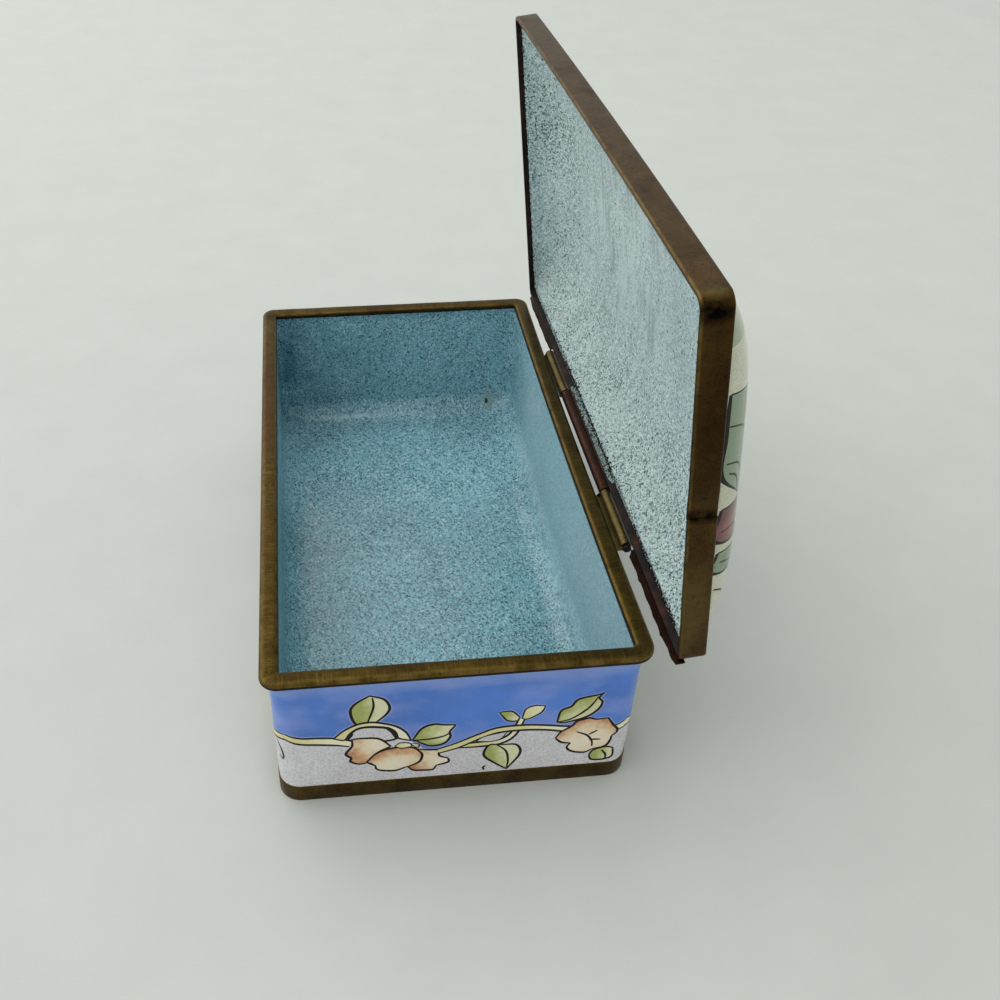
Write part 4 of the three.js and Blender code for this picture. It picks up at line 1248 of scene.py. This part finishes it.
def base_knuckle(name, node_name, span, look):
    """A base knuckle, whose tongue reaches the outer face of the rim."""
    skew = JOINT["axis"][1] / JOINT["axis"][0]
    reaches = []
    for x in span:
        bow = BACK_BOW * (1 - (x / RIM_HALF_X) ** 2)
        reaches.append(JOINT["pos_m"][1] / MM + x * skew - (RIM_HALF_Y - bow))
    reach = min(reaches) - 0.03
    low, high = -0.86, -0.42
    start = math.pi + math.asin(-low / KNUCKLE_RADIUS)
    tongue = ([(-reach, high), (-reach, low)], [(-0.52, high), (-0.9, high)])
    piece = rolled_leaf(name, span, start, math.radians(318), tongue, PIN_LINE, look)
    return checked(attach(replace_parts(piece, node_name), "box"))


def lid_knuckle(look):
    """The lid's long knuckle, whose tongue lies against the outer face of the lid band."""
    inside_y = -KNUCKLE_RADIUS + 0.42
    tongue = ([(-KNUCKLE_RADIUS, 2.0), (-KNUCKLE_RADIUS, 0.6)], [(inside_y, 0.5), (inside_y, 2.0)])
    piece = rolled_leaf("lid_knuckle_roll", LID_KNUCKLE, math.pi, math.radians(318), tongue, HINGE, look)
    return checked(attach(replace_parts(piece, "lid_hinge_knuckle"), "lid"))


def hinge_pin(looks):
    """The pin: drawn wire, its far end upset by the hammer and a black lump burnt on to its near end."""
    skin = Skin()
    low, high = PIN
    stations = [(low, 0.16), (low + 0.04, 0.3), (low + 0.14, PIN_RADIUS), (low + 0.4, PIN_RADIUS)]
    stations += [(x, PIN_RADIUS - 0.02) for x in np.linspace(low + 0.5, high - 0.5, 31)]
    lump_from = len(stations)
    stations += [(high - 0.45, 0.5), (high - 0.3, 0.62), (high - 0.1, 0.72), (high + 0.12, 0.7),
                 (high + 0.28, 0.56), (high + 0.4, 0.32), (high + 0.44, 0.1)]
    last = None
    for i, (x, radius) in enumerate(stations):
        points = []
        for a in np.linspace(0, 2 * math.pi, 24, endpoint=False):
            y, z = math.cos(a), math.sin(a)
            rough = 0.22 * noise.noise((x * 2.2, y * 1.6, z * 1.6)) if i >= lump_from else 0.0
            points.append((x, radius * (1 + rough) * y, radius * (1 + rough) * z))
        last = skin.grow(last, skin.ring(points), 1 if i >= lump_from else 0)
    skin.cap(last, 1)
    piece = skin.make("hinge_pin_wire", looks, PIN_LINE, 35)
    return checked(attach(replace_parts(piece, "hinge_pin"), "box"))


def tree_inputs(tree, **kinds):
    """Gives a Geometry Nodes tree its geometry, its named inputs and its output."""
    tree.interface.new_socket("Geometry", in_out="INPUT", socket_type="NodeSocketGeometry")
    for name, kind in kinds.items():
        tree.interface.new_socket(name.replace("_", " "), in_out="INPUT", socket_type="NodeSocket" + kind)
    tree.interface.new_socket("Geometry", in_out="OUTPUT", socket_type="NodeSocketGeometry")
    return node(tree, "NodeGroupInput").outputs


def tree_end(tree, geometry, material):
    """Ends a tree: instances made real, the material set."""
    solid = node(tree, "GeometryNodeRealizeInstances", {0: geometry})
    dressed = node(tree, "GeometryNodeSetMaterial", {0: solid.outputs[0], "Material": material})
    node(tree, "NodeGroupOutput", {0: dressed.outputs[0]})


def strip_tree():
    """Geometry Nodes for a flat strip, its edges a little rounded, that follows a line."""
    tree = bpy.data.node_groups.new("strip_along_a_line", "GeometryNodeTree")
    given = tree_inputs(tree, Thickness="Float", Height="Float", Edge_radius="Float", Material="Material")
    line = node(tree, "GeometryNodeMeshToCurve", {0: given["Geometry"]})
    upright = node(tree, "GeometryNodeSetCurveNormal", {0: line.outputs[0]}, mode="Z_UP")
    oblong = node(tree, "GeometryNodeCurvePrimitiveQuadrilateral",
                  {0: given["Thickness"], 1: given["Height"]})
    soft = node(tree, "GeometryNodeFilletCurve", {"Curve": oblong.outputs[0], "Radius": given["Edge radius"],
                                                  "Count": 3}, mode="POLY")
    swept = node(tree, "GeometryNodeCurveToMesh", {0: upright.outputs[0], 1: soft.outputs[0]})
    tree_end(tree, swept.outputs[0], given["Material"])
    return tree


def crumb_tree():
    """Geometry Nodes for enamel crumbs along a line: little fused lumps, scattered about it."""
    tree = bpy.data.node_groups.new("crumbs_along_a_line", "GeometryNodeTree")
    given = tree_inputs(tree, Count="Int", Crumb_size="Float", Scatter="Vector", Seed="Int",
                        Material="Material")
    line = node(tree, "GeometryNodeMeshToCurve", {0: given["Geometry"]})
    spots = node(tree, "GeometryNodeResampleCurve", {"Curve": line.outputs[0], "Count": given["Count"]})
    below = node(tree, "ShaderNodeVectorMath", {0: given["Scatter"], 1: (-1, -1, -1)}, operation="MULTIPLY")
    stray = node(tree, "FunctionNodeRandomValue", {"Min": below.outputs[0], "Max": given["Scatter"],
                                                   "Seed": given["Seed"]}, data_type="FLOAT_VECTOR")
    moved = node(tree, "GeometryNodeSetPosition", {0: spots.outputs[0], "Offset": stray.outputs[0]})
    lump = node(tree, "GeometryNodeMeshIcoSphere", {"Radius": given["Crumb size"], "Subdivisions": 1})
    spin = node(tree, "FunctionNodeRandomValue", {"Min": (0, 0, 0), "Max": (6.28, 6.28, 6.28),
                                                  "Seed": given["Seed"]}, data_type="FLOAT_VECTOR")
    bulk = node(tree, "FunctionNodeRandomValue", {"Min": (0.5, 0.4, 0.4), "Max": (1.5, 1.2, 1.1),
                                                  "Seed": given["Seed"]}, data_type="FLOAT_VECTOR")
    set_out = node(tree, "GeometryNodeInstanceOnPoints",
                   {"Points": moved.outputs[0], "Instance": lump.outputs[0], "Rotation": spin.outputs[0],
                    "Scale": bulk.outputs[0]})
    tree_end(tree, set_out.outputs[0], given["Material"])
    return tree


def grown_mesh(name, path, closed, tree, **given):
    """Runs a Geometry Nodes tree on a line of points in metres and keeps its result as a plain mesh."""
    line = bpy.data.meshes.new(name + "_path")
    count = len(path)
    line.from_pydata(path, [(i, (i + 1) % count) for i in range(count if closed else count - 1)], [])
    source = new_object(name + "_path", line)
    modifier = source.modifiers.new("grow", "NODES")
    modifier.node_group = tree
    for item in tree.interface.items_tree:
        key = item.name.replace(" ", "_")
        if item.in_out == "INPUT" and key in given:
            modifier[item.identifier] = given[key]
    source.update_tag()
    seen = source.evaluated_get(bpy.context.evaluated_depsgraph_get())
    mesh = bpy.data.meshes.new_from_object(seen)
    bpy.data.objects.remove(source)
    mesh.shade_smooth()
    mesh.set_sharp_from_angle(angle=math.radians(35))
    return new_object(name, mesh)


def foot_band(look, sizes):
    """The brass strip around the foot, swept along the foot's outline by Geometry Nodes."""
    plan = Plan(FOOT_HALF_X, FOOT_HALF_Y, (WALL_CORNER + 0.15,) * 4, BACK_BOW)
    thick = sizes.strip
    ring = plan.ring(plan.stations(2.0, 9), thick / MM / 2, FOOT_TOP / 2, shrunk)
    path = [tuple(part * MM for part in point) for point in ring]
    piece = grown_mesh("foot_brass_strip", path, True, strip_tree(), Thickness=thick, Height=FOOT_TOP * MM,
                       Edge_radius=0.14 * MM, Material=look)
    return checked(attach(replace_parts(piece, "brass_foot_band"), "box"))


def lid_crumbs(pale, dark, sizes):
    """Crumbs of counter-enamel around the panel's inner edge and run down over the band's inner face by
    the long knuckle, and chips that show the dark metal. The lid stands nearly upright, so its sheet
    lies along X and Z, and crumbs are scattered along it and hardly across it."""
    plan = lid_plan()
    tree = crumb_tree()
    ledge = PANEL_RECESS + 0.02
    size = sizes.crumb / MM
    around = plan.stations(1.0, 6)
    # Name, lengths along the lid's outline, inset, depth, how many, size, scatter, seed and enamel or metal
    rows = (
        ("pale_edge_crumbs", around, 1.05, ledge, 1100, 1.0, (0.3, 0.05, 0.3), 3, pale),
        ("inner_edge_crumbs", around, 1.68, ledge, 900, 0.85, (0.3, 0.05, 0.3), 5, pale),
        ("enamel_run_crumbs", np.linspace(70, 100, 60), 0.72, 0.8, 620, 0.95, (0.5, 0.42, 0.05), 7, pale),
        ("far_edge_crumbs", np.linspace(140, 196, 60), 0.9, ledge - 0.1, 420, 1.25, (0.1, 0.12, 0.3), 4,
         pale),
        ("near_corner_chips", np.linspace(34, 57, 50), 1.3, ledge, 90, 1.6, (0.4, 0.05, 0.3), 8, dark),
        ("long_knuckle_chips", np.linspace(72, 108, 50), 1.4, ledge, 130, 1.6, (0.4, 0.05, 0.28), 9, dark),
        ("hinge_side_specks", np.linspace(60, 128, 80), 1.7, ledge, 70, 1.1, (0.5, 0.05, 0.5), 11, dark),
        ("far_side_specks", np.linspace(141, 195, 60), 1.2, ledge, 40, 1.0, (0.3, 0.05, 0.3), 13, dark),
    )
    for name, stations, inset, depth, count, share, scatter, seed, look in rows:
        path = []
        for s in stations:
            x, y = plan.point(s, inset, softened)
            path.append((LID @ Vector((x, y, depth))) * MM)
        closed = stations is around
        piece = grown_mesh(name, path, closed, tree, Count=count, Crumb_size=size * share * MM,
                           Scatter=tuple(part * MM for part in scatter), Seed=seed, Material=look)
        checked(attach(piece, "lid"))


# What the eye sees of each overglaze colour, and the stops that a brush stroke of it runs through
PAINTS = {
    # Manganese black, drawn with a fine brush: nearly black, a little brown where it thins
    "line": ("drawn_manganese_black_line", ((0.3, "#0C0705"), (0.7, "#1D130D")), 0.18),
    # The pale edge that a stroke leaves in the blue beside it
    "halo": ("pale_lavender_edge_of_the_stroke", ((0.3, "#7F91D2"), (0.7, "#9AA6DA")), 0.5),
    # Thin cream yellow, the ground showing through
    "vine": ("cream_yellow_stem_paint", ((0.2, "#DDD69A"), (0.5, "#E6E0B0"), (0.8, "#EFEACB")), 0.5),
    # Moss green in the shade of a leaf, straw yellow at its light edge
    "leaf": ("yellow_green_leaf_paint", ((0.2, "#A3AA5C"), (0.45, "#BEC282"), (0.75, "#DEDCB4")), 0.5),
    # Buff in the throat of a flower, burnt to brown at the petal's edge
    "petal": ("buff_and_brown_petal_paint", ((0.2, "#F0E4CC"), (0.5, "#EAD6B4"), (0.8, "#D2A47C"),
                                             (1.0, "#B07A54")), 0.5),
    # Faded rose, thinner towards its edge
    "bud": ("faded_rose_bud_paint", ((0.2, "#C08088"), (0.8, "#A86470")), 0.5),
    # Grey green, laid on thickly
    "grey_leaf": ("grey_green_leaf_paint", ((0.2, "#3F5A44"), (0.5, "#5A7358"), (0.8, "#7E9276")), 0.5),
    # Dusky brownish red
    "rose": ("dusky_rose_paint", ((0.2, "#8E5452"), (0.6, "#7A4444"), (1.0, "#5E3234")), 0.5),
    # Thin grey green wash over the cream ground
    "wash": ("grey_green_wash", ((0.2, "#8E9C80"), (0.8, "#A9B294")), 0.5),
    # Thin pinkish grey wash over the cream ground
    "blush": ("pinkish_grey_wash", ((0.2, "#B7A6A0"), (0.8, "#C6B8AE")), 0.5),
}
WALL_PAINTS = ("halo", "line", "vine", "leaf", "petal", "bud")
LID_PAINTS = ("line", "vine", "leaf", "grey_leaf", "bud", "rose", "wash", "blush")


def size_setting(label, description, default):
    """A length in metres that the sidebar shows."""
    return FloatProperty(name=label, description=description, default=default, min=0.0, soft_max=0.01,
                         precision=5, unit="LENGTH", subtype="DISTANCE")


def colour_setting(label, description, code):
    """A colour that the sidebar shows, its default given as an sRGB hex value."""
    return FloatVectorProperty(name=label, description=description, default=linear(code), size=3, min=0.0,
                               max=1.0, subtype="COLOR")


def share_setting(label, description, default):
    """A share from 0 to 1 that the sidebar shows."""
    return FloatProperty(name=label, description=description, default=default, min=0.0, max=1.0,
                         subtype="FACTOR")


class BoxSizes(bpy.types.PropertyGroup):
    """Sizes of the box's details"""
    wall: size_setting("Wall", "Thickness of the enamelled copper wall", 0.0012)
    floor: size_setting("Floor", "Height of the tray's floor above the table", 0.0014)
    cove: size_setting("Cove", "Radius between the tray's wall and its floor", 0.005)
    strip: size_setting("Foot strip", "Thickness of the brass strip around the foot", 0.0006)
    hammer: size_setting("Hammer marks", "Depth of the unevenness of the brass", 0.00007)
    torn: size_setting("Torn edge", "Greatest depth of the torn edge beside the hinge", 0.001)
    crumb: size_setting("Crumbs", "Radius of the enamel crumbs along the lid panel's edge", 0.00018)
    line: size_setting("Drawn line", "Width of the lines drawn on the wall", 0.00046)


class EnamelLooks(bpy.types.PropertyGroup):
    """Colours and gloss of the enamel"""
    blue: colour_setting("Blue ground", "Ground colour of the wall above the vine", "#4A7AD0")
    white: colour_setting("White ground", "Ground colour of the wall below the vine", "#D9D6DA")
    cream: colour_setting("Lid ground", "Ground colour of the lid's top", "#CDCFB8")
    petrol: colour_setting("Tray inside", "Middle colour of the speckled enamel in the tray", "#75A6B4")
    aqua: colour_setting("Lid inside", "Middle colour of the speckled enamel in the lid", "#C6D8DA")
    underside: colour_setting("Underside", "Colour of the enamel under the box", "#5C6871")
    rough: share_setting("Glaze roughness", "Roughness of the fused enamel", 0.14)


class BrassLooks(bpy.types.PropertyGroup):
    """Colours and wear of the brass"""
    rim: colour_setting("Mouth rim", "Colour of the aged brass rim", "#463713")
    band: colour_setting("Lid band", "Colour of the aged brass band around the lid", "#4C381B")
    foot: colour_setting("Foot strip", "Colour of the aged brass strip around the foot", "#54411F")
    base_knuckle: colour_setting("Base knuckles", "Colour of the knuckles on the rim", "#5E5230")
    lid_knuckle: colour_setting("Lid knuckle", "Colour of the long knuckle on the lid", "#3A241C")
    # The worn colour is also the colour of the painted highlights on the rim and the lid band
    worn: colour_setting("Worn brass", "Colour where hands have rubbed the brass bright", "#8C7440")
    rough: share_setting("Brass roughness", "Roughness of the brass between its stains", 0.42)


def enamel_paints(names, rough):
    """The materials of some overglaze colours. A colour that both pictures use is made once."""
    made = []
    for name in names:
        title, stops, shine = PAINTS[name]
        made.append(bpy.data.materials.get(title) or brushed_paint(title, stops, rough, shine))
    return made


def crusted_black_and_shadow_line():
    """The brass that was never polished, also the painted shadow line under the rim, made once."""
    title = "black_crusted_brass"
    return bpy.data.materials.get(title) or black_tarnish(title, "#17100B", "#3B1D14")


class BuildTray(bpy.types.Operator):
    """Builds the enamelled tray"""
    bl_idname = "trinket.tray"
    bl_label = "Tray"

    def execute(self, context):
        looks = context.scene.trinket_enamel
        # Cobalt blue over white: clouded with lavender, with a painted highlight in a strip under the rim
        blue = ground_enamel("clouded_cobalt_ground_enamel", looks.blue, looks.rough, cloud=15.0, spread=0.2,
                             grain=0.06, tint="#8A9CE0", edge="#8FA8E4")
        # Opaque white, greyed by a fine dark grain
        white = ground_enamel("grained_white_ground_enamel", looks.white, looks.rough, cloud=9.0,
                              spread=0.08, grain=0.5)
        petrol = speckled_petrol(looks.petrol, looks.rough)
        # One dip of grey counter-enamel, hardly polished
        under = ground_enamel("grey_underside_enamel", looks.underside, looks.rough + 0.2, cloud=9.0,
                              spread=0.2, grain=0.7)
        paints = enamel_paints(WALL_PAINTS, looks.rough)
        enamelled_tray([blue, white, *paints, petrol, under], context.scene.trinket_sizes)
        return {"FINISHED"}


class BuildRim(bpy.types.Operator):
    """Builds the rolled brass rim around the mouth"""
    bl_idname = "trinket.rim"
    bl_label = "Mouth rim"

    def execute(self, context):
        looks = context.scene.trinket_brass
        # Olive brown old brass, redder at the left, with painted highlights along the lower part of its outer
        # roll and along its inner edge, and a painted shade line along the far side's inner edge
        stains = (((-53.0, -4.0, 28.6), (2.6, 9.0, 2.0), "#33180F", 0.55),
                  ((-20.0, -28.0, 28.6), (26.0, 1.8, 2.0), "#4C2A1A", 0.5),
                  ((20.0, -28.6, 28.6), (9.0, 1.2, 2.0), "#5A3A22", 0.45),
                  # A painted shade line along the inner edge of the far side
                  ((-50.8, 0.0, 28.4), (0.7, 27.0, 1.0), "#160C08", 0.85))
        # Painted highlights along the lower part of the outer roll and along the inner edge
        wear_and_highlight = ((0.0, 0.0), (0.36, 0.0), (0.75, 0.5), (1.5, 0.35), (2.1, 0.0), (3.4, 0.0), (3.8, 0.42),
                (4.15, 0.0))
        brass = aged_brass("olive_aged_rim_brass", looks.rim, "#241A10", looks.worn, looks.rough, marks=0.3,
                           wear_and_highlight=wear_and_highlight, stains_and_painted_light=stains)
        mouth_rim([brass, crusted_black_and_shadow_line()], context.scene.trinket_sizes)
        return {"FINISHED"}


class BuildFoot(bpy.types.Operator):
    """Builds the brass strip around the foot"""
    bl_idname = "trinket.foot"
    bl_label = "Foot strip"

    def execute(self, context):
        looks = context.scene.trinket_brass
        # Dark brown brass, handled little
        brass = aged_brass("dark_brown_foot_brass", looks.foot, "#1E150D", looks.worn, looks.rough,
                           swept=False)
        foot_band(brass, context.scene.trinket_sizes)
        return {"FINISHED"}


class BuildHinge(bpy.types.Operator):
    """Builds the three knuckles and their pin"""
    bl_idname = "trinket.hinge"
    bl_label = "Hinge"

    def execute(self, context):
        looks = context.scene.trinket_brass
        # The base's knuckles are olive and rubbed; the lid's is dark red brown, with two fine cracks
        olive = aged_brass("olive_base_knuckle_brass", looks.base_knuckle, "#2A2014", looks.worn,
                           looks.rough, marks=0.2)
        cracks = (((7.0, 30.0, 29.0), (0.12, 2.0, 1.2), "#0A0605", 0.9),
                  ((7.8, 30.0, 28.8), (0.1, 2.0, 0.9), "#0A0605", 0.8),
                  ((1.5, 30.0, 28.8), (3.0, 2.0, 0.5), "#5A3626", 0.6))
        reddish = aged_brass("red_brown_lid_knuckle_brass", looks.lid_knuckle, "#150C09", looks.worn,
                             looks.rough, marks=0.1, stains_and_painted_light=cracks)
        # Drawn wire, blackened
        wire = aged_brass("blackened_pin_wire_brass", "#2C2317", "#120D09", looks.worn, looks.rough,
                          swept=False)
        base_knuckle("far_base_knuckle_roll", "far_base_knuckle", FAR_KNUCKLE, olive)
        base_knuckle("near_base_knuckle_roll", "near_base_knuckle", NEAR_KNUCKLE, olive)
        lid_knuckle(reddish)
        hinge_pin([wire, crusted_black_and_shadow_line()])
        return {"FINISHED"}


class BuildLidBand(bpy.types.Operator):
    """Builds the brass band around the lid and its torn lower edge"""
    bl_idname = "trinket.lid_band"
    bl_label = "Lid band"

    def execute(self, context):
        looks = context.scene.trinket_brass
        sizes = context.scene.trinket_sizes
        # Smooth brown, mottled to olive; a thin pale gold line along the opening edge, partly rubbed and
        # partly a painted highlight; a painted olive highlight above a painted black reflection at the near
        # free corner, and burnt black patches at the near end
        # A painted black reflection and, above it, a painted olive highlight at the near free corner
        stains = (((55.9, 25.6, 86.2), (2.0, 3.6, 1.9), "#0B0806", 1.0),
                  ((54.5, 25.8, 88.2), (1.8, 2.2, 1.2), "#584E2C", 0.7),
                  ((14.4, 27.2, 87.9), (1.3, 0.8, 1.0), "#120C08", 0.9),
                  ((28.6, 25.0, 87.9), (1.1, 0.8, 1.0), "#120C08", 0.9),
                  ((-52.5, 26.5, 87.8), (4.5, 3.0, 3.0), "#5A5638", 0.75),
                  ((56.0, 29.2, 56.7), (2.0, 4.2, 1.5), "#0B0806", 1.0),
                  ((55.9, 29.0, 72.0), (1.6, 5.0, 17.0), "#27170A", 0.65),
                  ((55.9, 30.5, 38.5), (1.2, 4.0, 12.0), "#665430", 0.7))
        # A thin line painted bright along the opening edge: partly rubbed brass, partly a painted highlight
        wear_and_highlight = ((0.0, 0.25), (0.3, 0.45), (0.5, 0.25), (0.62, 0.0), (5.0, 0.0))
        brass = aged_brass("brown_mottled_band_brass", looks.band, "#2A1D13", looks.worn, looks.rough,
                           wear_and_highlight=wear_and_highlight, stains_and_painted_light=stains)
        lid_band([brass, crusted_black_and_shadow_line()], sizes)
        # Along the hinge, depth and how far bent outwards, beside the near and the far knuckle
        near = ((30.6, 0.3, 0.0), (32.0, 0.85, 0.0), (38.0, 1.0, 0.0), (44.0, 0.85, 0.0), (49.0, 1.0, 0.02),
                (52.0, 0.7, 0.04), (54.0, 0.9, 0.05), (55.3, 0.5, 0.0))
        far = ((-53.6, 0.2, 0.35), (-50.0, 0.5, 0.45), (-42.0, 0.4, 0.45), (-36.0, 0.5, 0.42),
               (-31.4, 0.3, 0.3))
        # Where the edge is torn, the brass is burnt red brown to black
        burnt = aged_brass("burnt_torn_edge_brass", "#2C1913", "#0E0806", looks.worn, looks.rough + 0.1,
                           swept=False)
        torn_edge("near_torn_edge", near, burnt, sizes)
        torn_edge("far_torn_edge", far, burnt, sizes)
        return {"FINISHED"}


class BuildLidPanel(bpy.types.Operator):
    """Builds the enamelled lid panel, its crumbs of enamel and its chips"""
    bl_idname = "trinket.lid_panel"
    bl_label = "Lid panel"

    def execute(self, context):
        looks = context.scene.trinket_enamel
        sizes = context.scene.trinket_sizes
        aqua = speckled_aqua(looks.aqua, looks.rough)
        # Cream white turning to grey green, a little grainy
        cream = ground_enamel("cream_lid_ground_enamel", looks.cream, looks.rough, cloud=14.0, spread=0.1,
                              grain=0.4, tint="#B5B89A")
        paints = enamel_paints(LID_PAINTS, looks.rough)
        lid_panel([cream, *paints, aqua], ["cream", *LID_PAINTS], sizes)
        lid_crumbs(aqua, crusted_black_and_shadow_line(), sizes)
        return {"FINISHED"}


class BuildStage(bpy.types.Operator):
    """Lays the pale floor, hangs the soft light and sets the camera"""
    bl_idname = "trinket.stage"
    bl_label = "Stage"

    def execute(self, context):
        scene = context.scene
        # Pale grey paper, dull, hardly mottled
        paper, tree, shader, place = new_material("pale_grey_paper_floor")
        tree.links.new(mottled(tree, place, ((0.35, "#C3C6C1"), (0.65, "#C6C9C4")), 17.0),
                       shader.inputs["Base Color"])
        shader.inputs["Roughness"].default_value = 0.8
        sheet = bpy.data.meshes.new("paper_floor")
        reach = 1.5
        corners = [(-reach, -reach, 0), (reach, -reach, 0), (reach, reach, 0), (-reach, reach, 0)]
        sheet.from_pydata(corners, [], [(0, 1, 2, 3)])
        sheet.materials.append(paper)
        new_object("paper_floor", sheet)
        world = bpy.data.worlds.new("studio")
        world.use_nodes = True
        backdrop = world.node_tree.nodes["Background"]
        backdrop.inputs["Color"].default_value = (*linear("#EEF1EE"), 1)
        backdrop.inputs["Strength"].default_value = 0.82
        scene.world = world
        lamp = bpy.data.lights.new("soft_overhead", "AREA")
        lamp.shape, lamp.size, lamp.size_y, lamp.energy = "RECTANGLE", 1.8, 1.6, 9.0
        light = new_object("soft_overhead", lamp)
        light.location = (-0.30, -0.50, 0.78)
        light.rotation_mode = "QUATERNION"
        light.rotation_quaternion = (-Vector(light.location)).to_track_quat("-Z", "Y")
        lens = bpy.data.cameras.new("camera")
        lens.sensor_width, lens.lens, lens.shift_x = 36.0, 38.516, 0.0876
        lens.clip_start, lens.clip_end = 0.01, 10.0
        camera = new_object("camera", lens)
        forward = Vector((-0.7705, 0.0806, -0.6324)).normalized()
        right = Vector((0.1008, 0.9949, 0.004))
        right = (right - right.dot(forward) * forward).normalized()
        turn = Matrix((right, right.cross(forward), -forward)).transposed()
        camera.matrix_world = Matrix.Translation(Vector((155.1854, -17.8991, 143.9203)) * MM) @ turn.to_4x4()
        scene.camera = camera
        scene.view_settings.view_transform = "Standard"
        return {"FINISHED"}


class TrinketPanel(bpy.types.Panel):
    """Lists the settings and the pieces of the trinket box"""
    bl_idname = "VIEW3D_PT_trinket_box"
    bl_label = "Trinket box"
    bl_space_type = "VIEW_3D"
    bl_region_type = "UI"
    bl_category = "Trinket box"

    def draw(self, context):
        for group in (context.scene.trinket_sizes, context.scene.trinket_enamel, context.scene.trinket_brass):
            box = self.layout.box()
            for name in group.bl_rna.properties.keys():
                if name not in ("rna_type", "name"):
                    box.prop(group, name)
        for step in STEPS:
            self.layout.operator(step.bl_idname)


STEPS = (BuildTray, BuildRim, BuildFoot, BuildHinge, BuildLidBand, BuildLidPanel, BuildStage)
GROUPS = {"trinket_sizes": BoxSizes, "trinket_enamel": EnamelLooks, "trinket_brass": BrassLooks}


def register():
    for cls in (*GROUPS.values(), *STEPS, TrinketPanel):
        bpy.utils.register_class(cls)
    for name, group in GROUPS.items():
        setattr(bpy.types.Scene, name, PointerProperty(type=group))


def unregister():
    for name in GROUPS:
        delattr(bpy.types.Scene, name)
    for cls in reversed((*GROUPS.values(), *STEPS, TrinketPanel)):
        bpy.utils.unregister_class(cls)


def main():
    register()
    bpy.ops.trinket.tray()
    bpy.ops.trinket.rim()
    bpy.ops.trinket.foot()
    bpy.ops.trinket.hinge()
    bpy.ops.trinket.lid_band()
    bpy.ops.trinket.lid_panel()
    bpy.ops.trinket.stage()


if __name__ == "__main__":
    main()
